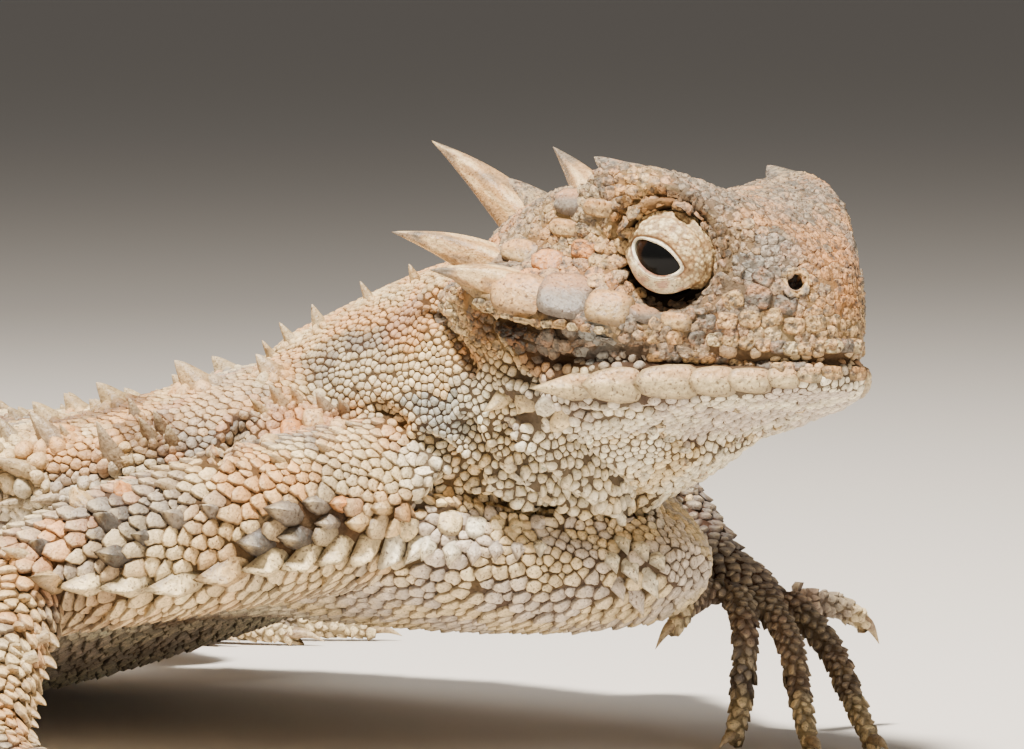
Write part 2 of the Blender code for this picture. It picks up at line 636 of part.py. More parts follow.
def tube_spines(line, count, length, angle, rng, first, last, others=()):
    """Spines at one angle round a tube, leaning towards its far end, where no other tube is near."""
    line, forward, sideways = tube_frames(finer(line, 4))
    upward = np.cross(sideways, forward)
    spines = []
    for share in np.linspace(first, last, count):
        k = int(round(share * (len(line) - 1)))
        out = math.cos(angle) * sideways[k] + math.sin(angle) * upward[k]
        reach = math.hypot(math.cos(angle) * line[k, 3], math.sin(angle) * line[k, 4])
        root = line[k, :3] + out * reach * 0.96
        long = length * rng.uniform(0.85, 1.1) * (1 - 0.4 * share)
        lie = out + LIMB_LEAN * forward[k]
        tip = root + lie / np.linalg.norm(lie) * long
        if clear_of(others, root, ROOT_MARGIN) and clear_of(others, tip, TIP_MARGIN):
            spines.append(cone("spine", root, tip, 0.4 * long + 0.05))
    return spines


def make_tail(skin, rng):
    line = finer(TAIL, 2)
    cuts = [0, *[2 * s for s in TAIL_SPLITS], len(line) - 1]
    names = ("tail_base", "tail_middle", "tail_tip")
    made = []
    for k, name in enumerate(names):
        piece = tube_piece(name, line, cuts[k], cuts[k + 1], 10, k > 0, k < 2, skin)
        part = line[cuts[k]:cuts[k + 1] + 1]
        count, length = TAIL_SPINES[0], TAIL_SPINES[1] * (1 - 0.25 * k)
        spines = [s for angle in (0.15, math.pi - 0.15)
                  for s in tube_spines(part, count, length, angle, rng, 0.12, 0.86)]
        boolean(piece, "UNION", spines)
        if k == 0:
            boolean(piece, "DIFFERENCE", [trunk_loft("room", GAP)])
        made.append(piece)
    return made


def floor_digit(root, tip, rise):
    """Line of a digit arched from its knuckle to a claw laid on the floor."""
    flat = np.array((*tip, 0.0))
    reach = flat - root * (1, 1, 0)
    claw_root = flat - reach / np.linalg.norm(reach) * CLAW_LENGTH
    line = [root]
    for share, height in ((0.4, root[2] * 0.62 + rise), (0.75, 0.65), (1.0, 0.4)):
        point = root * (1 - share) + claw_root * share
        line.append(np.array((point[0], point[1], height)))
    return [*line, flat + (0, 0, 0.12)]


def digit(name, line, radius):
    """One finger or toe along its line, whose last length is the claw."""
    line = np.asarray(line, float)
    shares = np.linspace(0, 1, len(line) - 1)
    sizes = radius * (1.1 - 0.4 * shares)
    toe = loft(name, tube_rings(np.column_stack([line[:-1], sizes, sizes]), 6, domed=True))
    claw = cone(name + "_claw", line[-2], line[-1], radius * 0.55, sides=4, bend=(0, 0, 0.2), steps=2)
    return [toe, claw]


def make_paw(name, wrist_line, knuckles, digits, radius, skin):
    """A hand or foot: the palm, five digits and their claws, joined, and cut clear of the wrist."""
    wrist = np.asarray(wrist_line[-1], float)
    knuckles = np.asarray(knuckles, float)
    between = wrist[:3] * 0.4 + knuckles * 0.6
    line = [(*wrist[:3], wrist[3] * 0.85, wrist[4] * 0.85), (*between, wrist[3] * 1.15, wrist[4] * 0.95),
            (*knuckles, wrist[3] * 1.2, wrist[4] * 0.7)]
    paw = loft(name, tube_rings(line, 9), skin)
    forward = (knuckles - wrist[:3]) / np.linalg.norm(knuckles - wrist[:3])
    across = np.array(digits[-1][:2]) - np.array(digits[0][:2])
    pieces = []
    for k, tip in enumerate(digits):
        if len(tip) == 2:
            sideways = np.array((*across / np.linalg.norm(across), 0.0))
            root = knuckles + sideways * (k - 2) * 0.42 * wrist[3] - forward * 0.6
            tip = floor_digit(root, tip, 0.5)
        pieces += digit(f"digit_{k}", tip, radius)
    boolean(paw, "UNION", pieces)
    room = tube_rings(wrist_line, 12, GAP)
    room[-1] += tube_frames(wrist_line)[1][-1] * GAP
    return boolean(paw, "DIFFERENCE", [loft("room", room)])


def make_limb(kind, side, lines, knuckles, tips, names, radius, spines, skin, rng):
    """Upper and lower length of a limb and its paw, each cut clear of the one before."""
    count, length = spines
    front = -0.3 if side == "left" else math.pi + 0.3
    top = math.pi / 2 - 0.5 if side == "left" else math.pi / 2 + 0.5
    fine = [finer(line, 2) for line in lines]
    made = []
    for name, line in zip(names, fine):
        is_upper = name == names[0]
        piece = loft(f"{name}_{side}", tube_rings(line, 12, domed=is_upper), skin)
        others = lines[1:] if is_upper else lines[:1]
        first, last = (0.3, 0.85) if is_upper else (0.3, 0.6)
        joined = tube_spines(line, count, length, front, rng, first, last, others)
        joined += tube_spines(line, count // 2, length, top, rng, first, last, others)
        boolean(piece, "UNION", joined)
        if is_upper:
            rooms = [trunk_loft("room", GAP), neck_room()]
        else:
            rooms = [loft("room", tube_rings(fine[0], 16, GAP, domed=True))]
        made.append(boolean(piece, "DIFFERENCE", rooms))
    return [*made, make_paw(f"{kind}_{side}", fine[1], knuckles, tips, radius, skin)]


def main():
    rng = random.Random(SEED)
    clear_scene()
    skin = material("skin", (0.62, 0.48, 0.33), 0.75)
    pale = material("pale_skin", (0.75, 0.66, 0.52), 0.7)
    horn = material("horn", (0.60, 0.49, 0.38), 0.45)
    eye = material("eye", (0.03, 0.02, 0.015), 0.08)
    nodes = [make_head(skin), make_jaw(pale), *make_eyes(eye), *make_horns(horn), make_neck(pale)]
    nodes += [make_torso(skin, rng), *make_tail(skin, rng)]
    for side in ("right", "left"):
        nodes += make_limb("hand", side, ARM[side], *HAND[side], ("upper_arm", "forearm"), FINGER_RADIUS,
                           ARM_SPINES, skin, rng)
        nodes += make_limb("foot", side, LEG[side], *FOOT[side], ("thigh", "shin"), TOE_RADIUS,
                           LEG_SPINES, skin, rng)
    for node in nodes:
        node.data.shade_smooth()
        node.data.set_sharp_from_angle(angle=math.radians(50))


main()
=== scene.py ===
"""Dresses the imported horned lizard: one skin over the flesh, raised scales, plates, spines,
horns, lids, eyes and claws, on a pale floor, seen from the photograph's side.

Lengths are millimetres in the design's own axes, +X forward, +Y the animal's left, +Z up, and
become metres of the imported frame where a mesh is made. Pixels are those of the photograph.
"""
import json
import math
import random
from collections import namedtuple

import bmesh
import bpy
import numpy as np
from mathutils import Matrix, Vector, noise
from mathutils.bvhtree import BVHTree
from mathutils.kdtree import KDTree

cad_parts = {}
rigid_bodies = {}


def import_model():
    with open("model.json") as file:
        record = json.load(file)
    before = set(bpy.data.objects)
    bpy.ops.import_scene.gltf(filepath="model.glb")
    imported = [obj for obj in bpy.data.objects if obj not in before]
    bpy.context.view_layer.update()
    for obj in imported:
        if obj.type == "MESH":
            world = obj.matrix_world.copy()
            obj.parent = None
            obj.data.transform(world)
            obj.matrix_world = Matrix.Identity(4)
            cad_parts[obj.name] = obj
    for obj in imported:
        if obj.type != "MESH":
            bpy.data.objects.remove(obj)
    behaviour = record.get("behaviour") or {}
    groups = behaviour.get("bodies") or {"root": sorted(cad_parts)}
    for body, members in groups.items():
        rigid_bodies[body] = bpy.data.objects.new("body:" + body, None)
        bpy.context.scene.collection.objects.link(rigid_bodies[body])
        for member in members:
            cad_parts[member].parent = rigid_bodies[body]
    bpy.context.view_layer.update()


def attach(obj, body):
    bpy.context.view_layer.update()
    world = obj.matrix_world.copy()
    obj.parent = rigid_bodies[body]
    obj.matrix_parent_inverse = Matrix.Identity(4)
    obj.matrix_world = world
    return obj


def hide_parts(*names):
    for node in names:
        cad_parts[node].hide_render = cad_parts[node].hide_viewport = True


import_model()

MM = 0.001
SEED = 11
# Point of the floor under the belly's flat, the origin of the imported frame
REST_X = -16.0
# The skin lies this far inside the solids, to leave room for the scales
COAT = 0.14
VOXEL = 0.27

# Camera: turned and raised round the animal, at this distance and scale, aimed by one point
# of the chest that the photograph shows at a known pixel
IMAGE = (1024, 749)
VIEW_TURN, VIEW_RISE = math.radians(38), math.radians(3)
VIEW_DISTANCE, PIXELS_PER_MM = 330.0, 24.8
AIM, AIM_PIXEL = (24.0, -2.0, 5.0), (540.0, 635.0)
SENSOR = 36.0

# The solids' own driving sizes: the head's ridge lines, the trunk's stations, the tubes
EYE_RADIUS = 1.8
HEAD_AT = (23.6, -0.8, 15.85)
HEAD_YAW, HEAD_PITCH, HEAD_ROLL = -5.0, 4.0, -3.0
HEAD_X = (-0.8, 0.8, 3.0, 5.5, 8.0, 10.0, 11.6, 12.9, 14.0, 14.9, 15.5, 15.9)
HEAD_LINES = {
    "crown": ((0,) * 12, (3.9, 5.4, 6.2, 6.4, 6.5, 6.5, 6.2, 5.6, 4.9, 4.2, 3.3, 2.0)),
    "brow": ((2.6, 3.4, 4.2, 4.9, 5.3, 4.7, 4.0, 3.2, 2.4, 1.6, 1.0, 0.5),
             (4.0, 5.5, 6.3, 6.9, 7.6, 7.4, 6.7, 5.8, 4.8, 4.0, 3.1, 1.8)),
    "edge": ((3.8, 5.0, 5.6, 5.8, 6.0, 5.6, 4.9, 3.9, 2.8, 1.9, 1.2, 0.6),
             (3.2, 4.4, 5.2, 5.9, 6.5, 6.2, 5.5, 4.7, 3.9, 3.2, 2.4, 1.4)),
    "orbit": ((4.6, 6.0, 6.6, 6.6, 5.9, 5.4, 5.0, 4.2, 3.1, 2.1, 1.4, 0.7),
              (2.2, 3.4, 3.9, 3.9, 3.8, 3.6, 3.3, 2.9, 2.4, 2.0, 1.5, 0.9)),
    "cheek": ((5.6, 7.2, 8.3, 8.5, 7.9, 7.0, 5.6, 4.3, 3.1, 2.1, 1.35, 0.7),
              (1.4, 2.5, 2.7, 2.3, 1.6, 1.3, 1.2, 1.1, 1.0, 0.95, 0.8, 0.4)),
    "lip": ((5.4, 6.6, 7.2, 7.3, 7.1, 6.5, 5.3, 4.1, 3.0, 2.0, 1.3, 0.7),
            (0.0, 0.2, 0.1, -0.2, 0.1, 0.2, 0.2, 0.1, 0.0, -0.1, -0.2, -0.25)),
    "jaw": ((5.0, 6.2, 6.8, 7.2, 7.2, 6.6, 5.4, 4.3, 3.2, 2.2, 1.5, 0.8),
            (-1.2, -1.4, -1.4, -1.4, -1.6, -1.7, -1.7, -1.6, -1.5, -1.4, -1.3, -1.1)),
    "under": ((3.6, 4.6, 5.2, 5.6, 5.6, 4.9, 3.9, 3.0, 2.2, 1.5, 1.0, 0.5),
              (-2.4, -3.1, -3.3, -3.2, -2.8, -2.4, -2.15, -2.0, -1.85, -1.7, -1.6, -1.35)),
    "throat": ((0,) * 12, (-2.6, -3.8, -4.5, -4.2, -3.3, -2.7, -2.3, -2.05, -1.9, -1.8, -1.7, -1.4)),
}
# The eyes bulge a little more than the plain solids' do
EYE_AT = (10.5, 4.15, 3.85)
HORNS = (
    ("occipital_horn", (1.4, 2.3, 5.2), (-3.0, 3.6, 9.1), 1.05),
    ("temporal_horn", (3.0, 5.4, 3.3), (-0.9, 8.2, 5.2), 1.0),
    ("side_horn", (5.4, 6.9, 2.3), (2.6, 9.7, 3.5), 0.95),
)
TRUNK = (
    (-31.0, 4.6, 3.7, 7.0, 0.4),
    (-27.5, 7.4, 4.4, 8.8, -0.2),
    (-23.0, 11.5, 5.4, 10.5, -0.6),
    (-17.0, 15.8, 6.8, 12.0, -0.7),
    (-9.0, 18.6, 8.4, 12.7, 0.3),
    (-1.0, 19.0, 9.8, 13.2, 2.5),
    (6.0, 18.0, 11.2, 14.3, 4.6),
    (12.0, 15.6, 12.0, 16.1, 5.2),
    (16.5, 12.4, 11.6, 17.2, 5.0),
    (20.0, 10.3, 10.4, 15.4, 4.9),
    (23.0, 8.7, 9.3, 12.3, 5.0),
    (25.8, 6.4, 8.6, 10.7, 5.2),
    (28.2, 3.9, 8.2, 9.8, 5.8),
    (30.0, 1.6, 8.0, 8.9, 7.1),
)
BACK_ROUNDNESS = 1.8
BELLY_ROUNDNESS = 2.4
NECK = ((14.0, 0.0, 12.6, 8.6, 5.2), (19.0, -0.2, 13.9, 8.2, 5.9), (24.0, -0.6, 15.2, 7.7, 6.0),
        (28.0, -1.0, 16.3, 7.2, 5.6), (31.0, -1.3, 17.0, 6.4, 4.8))
TAIL = ((-30.0, 0.0, 3.7, 4.7, 3.5), (-33.5, 0.0, 3.3, 4.2, 3.2), (-38.0, 0.5, 2.7, 3.3, 2.7),
        (-44.0, 1.6, 2.2, 2.6, 2.2), (-50.0, 3.4, 1.8, 2.1, 1.8), (-56.0, 5.8, 1.4, 1.7, 1.45),
        (-61.5, 8.6, 1.1, 1.25, 1.1), (-66.5, 11.8, 0.75, 0.8, 0.75), (-70.0, 14.6, 0.45, 0.4, 0.4))
ARM = {
    "right": (((20.8, -6.0, 10.8, 3.0, 3.5), (18.6, -12.0, 10.0, 2.9, 3.3), (15.6, -17.0, 8.9, 2.6, 2.9),
               (12.9, -20.6, 7.8, 2.2, 2.3)),
              ((12.9, -20.8, 7.6, 2.0, 2.0), (14.6, -24.2, 5.4, 1.9, 1.9), (16.8, -27.2, 3.2, 1.6, 1.5),
               (18.0, -28.6, 2.2, 1.5, 1.3))),
    "left": (((20.5, 5.0, 10.4, 3.0, 3.4), (17.8, 10.6, 10.3, 2.9, 3.2), (14.8, 15.2, 10.4, 2.6, 2.7),
              (12.8, 17.8, 10.4, 2.2, 2.3)),
             ((12.8, 17.8, 10.2, 2.0, 2.0), (16.2, 15.6, 9.6, 1.9, 1.9), (20.0, 12.9, 8.5, 1.5, 1.5),
              (23.2, 10.9, 7.1, 1.3, 1.2))),
}
LEG = {
    "right": (((-23.0, -4.0, 6.0, 3.6, 3.8), (-21.0, -11.0, 6.6, 4.0, 3.9), (-17.8, -17.0, 6.6, 3.5, 3.4),
               (-15.2, -21.0, 5.9, 2.6, 2.7)),
              ((-15.2, -21.2, 5.6, 2.4, 2.4), (-19.2, -25.0, 4.4, 2.4, 2.3), (-23.2, -28.0, 2.9, 2.0, 1.8),
               (-25.2, -29.6, 2.0, 1.7, 1.4))),
    "left": (((-23.0, 4.0, 6.0, 3.6, 3.8), (-21.4, 11.0, 6.6, 4.0, 3.9), (-18.6, 17.2, 6.6, 3.5, 3.4),
              (-16.6, 21.4, 5.9, 2.6, 2.7)),
             ((-16.6, 21.6, 5.6, 2.4, 2.4), (-21.4, 24.6, 4.3, 2.4, 2.3), (-25.8, 26.8, 2.8, 2.0, 1.8),
              (-28.2, 28.0, 2.0, 1.7, 1.4))),
}
HAND = {
    "right": ((19.4, -30.0, 1.5),
              ((23.2, -26.4), (25.6, -28.6), (26.8, -31.6), (25.4, -34.8), (20.8, -35.2))),
    "left": ((25.6, 11.2, 5.6), (
        ((24.4, 9.0, 6.2), (24.8, 7.0, 5.7), (25.0, 5.8, 5.0), (24.7, 4.8, 4.0)),
        ((25.3, 9.6, 6.0), (26.9, 8.0, 4.5), (27.5, 6.9, 1.7), (27.7, 6.2, 0.4), (27.8, 5.0, 0.1)),
        ((25.9, 10.6, 5.8), (28.4, 9.0, 4.2), (30.4, 7.2, 1.6), (31.2, 6.6, 0.4), (32.4, 5.8, 0.1)),
        ((26.3, 11.9, 5.6), (28.9, 11.2, 3.8), (31.6, 9.4, 1.5), (32.7, 8.8, 0.4), (34.1, 8.1, 0.1)),
        ((26.0, 13.1, 5.5), (26.2, 15.6, 5.1), (26.3, 17.2, 4.4), (26.4, 18.2, 3.4)))),
}
FOOT = {
    "right": ((-22.6, -32.2, 1.5),
              ((-20.6, -29.6), (-17.0, -32.0), (-13.6, -35.0), (-12.2, -39.4), (-20.2, -39.4))),
    "left": ((-25.8, 30.8, 1.5),
             ((-22.2, 29.4), (-20.0, 31.8), (-17.2, 34.6), (-16.2, 39.2), (-24.0, 38.4))),
}
CLAW_LENGTH = 1.7
FINGER_RADIUS, TOE_RADIUS = 0.62, 0.7


def spline(knots, values, at):
    """Smooth curve through values at the knots, read at each place in at."""
    knots, values = np.asarray(knots, float), np.asarray(values, float)
    at = np.clip(np.atleast_1d(at), knots[0], knots[-1])
    slopes = np.gradient(values, knots, axis=0)
    i = np.clip(np.searchsorted(knots, at, side="right") - 1, 0, len(knots) - 2)
    step = knots[i + 1] - knots[i]
    shape = (-1,) + (1,) * (values.ndim - 1)
    t, step = ((at - knots[i]) / step).reshape(shape), step.reshape(shape)
    return ((2 * t**3 - 3 * t**2 + 1) * values[i] + (t**3 - 2 * t**2 + t) * step * slopes[i]
            + (3 * t**2 - 2 * t**3) * values[i + 1] + (t**3 - t**2) * step * slopes[i + 1])


def turn(axis, degrees):
    """Rotation matrix about one axis."""
    c, s = math.cos(math.radians(degrees)), math.sin(math.radians(degrees))
    return np.array({"x": ((1, 0, 0), (0, c, -s), (0, s, c)),
                     "y": ((c, 0, s), (0, 1, 0), (-s, 0, c)),
                     "z": ((c, -s, 0), (s, c, 0), (0, 0, 1))}[axis])


HEAD_TURN = turn("z", HEAD_YAW) @ turn("y", -HEAD_PITCH) @ turn("x", HEAD_ROLL)


def round_angles(sides):
    """Angles of evenly spread points all the way round."""
    return np.arange(sides) * 2 * math.pi / sides


def head_to_world(points):
    """Points of the head's own frame, placed on the animal."""
    return np.asarray(points, float) @ HEAD_TURN.T + HEAD_AT


def world_to_head(points):
    """Points on the animal, in the head's own frame."""
    return (np.asarray(points, float) - HEAD_AT) @ HEAD_TURN


def mirrored(point, side):
    """A point or direction of the left side, or its twin where side is -1."""
    return np.array((point[0], side * point[1], point[2]), float)


def unit(v):
    """Vectors of length 1."""
    v = np.asarray(v, float)
    return v / np.maximum(np.linalg.norm(v, axis=-1, keepdims=True), 1e-9)


def smooth(low, high, value):
    """Rises from 0 at low to 1 at high."""
    t = np.clip((np.asarray(value, float) - low) / (high - low), 0, 1)
    return t * t * (3 - 2 * t)


def mix(a, b, share):
    """Colours between a and b, by a share for each point or one for all."""
    share = np.asarray(share, float)[..., None]
    return a * (1 - share) + b * share


def tint(red, green, blue):
    """Linear colour from one written in 0 to 255 screen values."""
    screen = np.array((red, green, blue)) / 255
    return np.where(screen < 0.04045, screen / 12.92, ((screen + 0.055) / 1.055) ** 2.4)


TAN, CREAM, WHITE = tint(198, 163, 110), tint(229, 203, 152), tint(238, 225, 192)
ORANGE, PEACH = tint(212, 142, 78), tint(220, 176, 120)
GREY, SLATE, BLUISH = tint(138, 125, 108), tint(84, 78, 70), tint(150, 156, 152)
BROWN, SEAM, DARK = tint(108, 72, 38), tint(62, 36, 16), tint(26, 16, 8)
# SHADE is painted shade for the left arm's lower part and palm, and the grey base of the digits
LILAC, SHADE = tint(202, 186, 166), tint(104, 98, 94)

# Direction of the view, its right and its up, and the place of the lens
LOOK = np.array((-math.sin(VIEW_TURN) * math.cos(VIEW_RISE), math.cos(VIEW_TURN) * math.cos(VIEW_RISE),
                 -math.sin(VIEW_RISE)))
RIGHT = np.array((math.cos(VIEW_TURN), math.sin(VIEW_TURN), 0.0))
UP = np.cross(RIGHT, LOOK)
FOCAL_PIXELS = VIEW_DISTANCE * PIXELS_PER_MM
LENS_AT = (np.array(AIM) - VIEW_DISTANCE * LOOK - (AIM_PIXEL[0] - IMAGE[0] / 2) / PIXELS_PER_MM * RIGHT
           + (AIM_PIXEL[1] - IMAGE[1] / 2) / PIXELS_PER_MM * UP)


def pixel_ray(px, py):
    """Direction from the lens through a pixel of the photograph."""
    return unit(LOOK * FOCAL_PIXELS + RIGHT * (px - IMAGE[0] / 2) - UP * (py - IMAGE[1] / 2))


def add_object(name, data):
    """A new object of the scene."""
    made = bpy.data.objects.new(name, data)
    bpy.context.scene.collection.objects.link(made)
    return made


def fast_mesh(name, points, faces, finish, colours=None, uvs=None):
    """A mesh object from arrays.

    Points are in millimetres, faces are of equal size, colours go by point and UVs by corner.
    """
    mesh = bpy.data.meshes.new(name)
    points, faces = np.asarray(points, float), np.asarray(faces, np.int32)
    mesh.vertices.add(len(points))
    mesh.vertices.foreach_set("co", ((points - (REST_X, 0, 0)) * MM).ravel())
    mesh.loops.add(faces.size)
    mesh.loops.foreach_set("vertex_index", faces.ravel())
    mesh.polygons.add(len(faces))
    mesh.polygons.foreach_set("loop_start", np.arange(0, faces.size, faces.shape[1], dtype=np.int32))
    mesh.update(calc_edges=True)
    mesh.validate()
    if colours is not None:
        rgba = np.column_stack([np.clip(colours, 0, 1), np.ones(len(points))])
        mesh.color_attributes.new("colour", "FLOAT_COLOR", "POINT").data.foreach_set("color", rgba.ravel())
    if uvs is not None:
        mesh.uv_layers.new(name="OFBake").data.foreach_set("uv", np.asarray(uvs, float).ravel())
    mesh.shade_smooth()
    obj = add_object(name, mesh)
    mesh.materials.append(finish)
    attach(obj, "root")
    return obj


def wall_faces(count, sides):
    """Faces between each closed ring of points and the next."""
    i, j = np.meshgrid(np.arange(count - 1), np.arange(sides), indexing="ij")
    k = (j + 1) % sides
    quads = np.stack([i * sides + j, i * sides + k, (i + 1) * sides + k, (i + 1) * sides + j], axis=-1)
    return quads.reshape(-1, 4)


# Lofts of the body, as rings of points

def head_rings(grow, count=64, per_line=6):
    """Cross-sections of the whole head in its own axes, swollen by grow."""
    stations = spline(np.arange(len(HEAD_X)), HEAD_X, np.linspace(0, len(HEAD_X) - 1, count))
    side = np.array([[spline(HEAD_X, part, stations) for part in line] for line in HEAD_LINES.values()])
    rings = []
    for k, x in enumerate(stations):
        left = side[:, :, k]
        loop = np.concatenate([left, (left * (-1, 1))[-2:0:-1]])
        closed = np.concatenate([loop[-2:], loop, loop[:3]])
        ring = spline(np.arange(len(closed)), closed, np.arange(len(loop) * per_line) / per_line + 2)
        away = ring - (0.0, ring[:, 1].mean())
        ring = ring + grow * unit(away)
        end = grow * ((k == count - 1) - (k == 0))
        rings.append(np.column_stack([np.full(len(ring), x + end), ring]))
    return head_to_world(rings)


def trunk_rings(grow, count=110, sides=128):
    """Cross-sections of the trunk: share 0 of a quarter turn is mid back, 1 the fringe, 2 mid belly."""
    table = np.array(TRUNK)
    x = spline(np.arange(len(table)), table[:, 0], np.linspace(0, len(table) - 1, count))
    share = np.linspace(0, 4, sides, endpoint=False)
    return trunk_surface(x[:, None], np.where(share <= 2, share, 4 - share)[None],
                         np.where(share <= 2, 1, -1)[None], grow)


def trunk_surface(x, share, side, grow=0.0):
    """Points of the trunk at places along it, shares of its half girth and sides."""
    table = np.array(TRUNK)
    x, share, side = np.broadcast_arrays(np.asarray(x, float), share, side)
    width, fringe, back, belly = spline(table[:, 0], table[:, 1:], x.ravel()).T.reshape(4, *x.shape)
    above = share <= 1
    power = np.where(above, 2 / BACK_ROUNDNESS, 2 / BELLY_ROUNDNESS)
    across, rise = np.sin(share * math.pi / 2), np.cos(share * math.pi / 2)
    reach = np.maximum(np.where(above, back - fringe, fringe - belly) + grow, 0)
    y = side * (width + grow) * np.abs(across) ** power
    z = fringe + np.sign(rise) * reach * np.abs(rise) ** power
    return np.stack([x, y, np.maximum(z, -grow)], axis=-1)


def tube_frames(line):
    """Middle points, forward, sideways and upward directions along a tube's line."""
    line = np.asarray(line, float)
    forward = unit(np.gradient(line[:, :3], axis=0))
    sideways = unit(np.cross(forward, (0, 0, 1)))
    return line, forward, sideways, np.cross(sideways, forward)


def finer(line, count):
    """The same line through more points."""
    line = np.asarray(line, float)
    return spline(np.arange(len(line)), line, np.linspace(0, len(line) - 1, count))


def tube_rings(line, grow, count=40, sides=40, domed=True):
    """Cross-sections along a tube, closed by a half ball at its far end."""
    line, forward, sideways, upward = tube_frames(finer(line, count))
    angles = round_angles(sides)
    rings = []
    for k in range(count):
        ends = ((0.0, 1.0),)
        if domed and k == count - 1:
            ends = tuple((math.sin(a), math.cos(a)) for a in np.linspace(0, 1.45, 8))
        for ahead, size in ends:
            wide, high = line[k, 3] + grow, line[k, 4] + grow
            middle = line[k, :3] + forward[k] * ahead * high
            ring = middle + np.outer(np.cos(angles) * wide * size, sideways[k])
            ring += np.outer(np.sin(angles) * high * size, upward[k])
            rings.append(ring)
    rings = np.array(rings)
    rings[..., 2] = np.maximum(rings[..., 2], -grow)
    return rings


def floor_digit(root, tip, rise=0.5):
    """Line of a digit arched from its knuckle to a claw laid on the floor."""
    root, flat = np.asarray(root, float), np.array((*tip, 0.0))
    reach = flat - root * (1, 1, 0)
    claw_root = flat - unit(reach) * CLAW_LENGTH
    line = [root]
    for share, height in ((0.4, root[2] * 0.62 + rise), (0.75, 0.65), (1.0, 0.4)):
        point = root * (1 - share) + claw_root * share
        line.append(np.array((point[0], point[1], height)))
    return [*line, flat + (0, 0, 0.12)]


def digit_lines(wrist_line, knuckles, digits):
    """Lines of the five digits of a hand or foot, each ending in its claw."""
    wrist, knuckles = np.asarray(wrist_line[-1], float), np.asarray(knuckles, float)
    forward = unit(knuckles - wrist[:3])
    across = np.array(digits[-1][:2]) - np.array(digits[0][:2])
    lines = []
    for k, tip in enumerate(digits):
        if len(tip) == 2:
            sideways = np.array((*unit(across), 0.0))
            root = knuckles + sideways * (k - 2) * 0.42 * wrist[3] - forward * 0.6
            tip = floor_digit(root, tip)
        lines.append(np.asarray(tip, float))
    return lines


def palm_line(wrist_line, knuckles):
    """Line of the flat part of a hand or foot, from its wrist to its knuckles."""
    wrist, knuckles = np.asarray(wrist_line[-1], float), np.asarray(knuckles, float)
    between = wrist[:3] * 0.4 + knuckles * 0.6
    wide, high = wrist[3:]
    return np.array([(*wrist[:3], wide * 0.9, high * 0.9), (*between, wide * 1.1, high * 0.95),
                     (*knuckles, wide * 1.1, high * 0.7)])


def limb_parts(title, upper, lower, paw, radius):
    """Lofts of one limb: its two halves, its palm or sole, and its digits."""
    parts = [(f"upper_{title}", tube_rings(upper, -COAT), 1),
             (f"lower_{title}", tube_rings(lower, -COAT), 1),
             (f"palm_{title}", tube_rings(palm_line(lower, paw[0]), -COAT, 16, 32), 1)]
    for k, line in enumerate(digit_lines(lower, *paw)):
        sizes = radius * (1.1 - 0.4 * np.linspace(0, 1, len(line) - 1))
        toe = np.column_stack([line[:-1], sizes, sizes])
        parts.append((f"digit_{title}_{k}", tube_rings(toe, -COAT * 0.7, 24, 20), 1))
    return parts


def body_parts():
    """Every loft of the body: name, rings, and which way its scales lie along the rings."""
    parts = [("head", head_rings(-COAT), -1), ("trunk", trunk_rings(-COAT), -1),
             ("neck", tube_rings(NECK, -COAT, 60, 80, False), -1),
             ("tail", tube_rings(TAIL, -COAT, 120, 40), 1)]
    for kind, limbs, paws, radius in (("arm", ARM, HAND, FINGER_RADIUS), ("leg", LEG, FOOT, TOE_RADIUS)):
        for side in ("right", "left"):
            parts += limb_parts(f"{kind}_{side}", *limbs[side], paws[side], radius)
    return parts


class Guide:
    """Knows, for any point near the body, its part, its place on it and the way its scales lie."""

    def __init__(self, parts):
        self.names = np.array([name for name, _, _ in parts])
        self.ways = np.array([way for _, _, way in parts])
        self.rows = np.concatenate([self.part_rows(k, *part[1:]) for k, part in enumerate(parts)])
        self.tree = tree_of(self.rows[:, :3])

    @staticmethod
    def part_rows(index, rings, way):
        """Place, lie, shares along and around, part, length and girth at each point of one loft."""
        count, sides = rings.shape[:2]
        lie = unit(np.gradient(rings, axis=0) * way)
        along, around = np.meshgrid(np.linspace(0, 1, count), np.arange(sides) / sides, indexing="ij")
        steps = np.linalg.norm(np.roll(rings, -1, axis=1) - rings, axis=2)
        girth = np.cumsum(steps, axis=1) - steps
        girth = np.where(around < 0.5, girth, girth - steps.sum(axis=1, keepdims=True))
        middles = rings.mean(axis=1)
        length = np.cumsum(np.linalg.norm(np.diff(middles, axis=0, prepend=middles[:1]), axis=1))
        length = np.broadcast_to(length[:, None], along.shape)
        columns = (along, around, np.full(along.shape, index), length, girth)
        return np.concatenate([rings, lie, np.stack(columns, axis=-1)], axis=-1).reshape(-1, 11)

    def read(self, points):
        """What lies nearest to each point, as arrays by name."""
        found = np.array([self.tree.find(p)[1] for p in points])
        row = self.rows[found]
        index = row[:, 8].astype(int)
        off = np.asarray(points) - row[:, :3]
        length = row[:, 9] + (off * row[:, 3:6]).sum(axis=1) * self.ways[index]
        return {"lie": row[:, 3:6], "along": row[:, 6], "around": row[:, 7], "index": index,
                "part": self.names[index], "length": length, "girth": row[:, 10]}


# The skin

MOUTH_X = (5.8, 8.0, 10.5, 13.0, 16.2)
MOUTH_LINE_Z = (0.0, -0.1, -0.2, -0.35, -0.4)
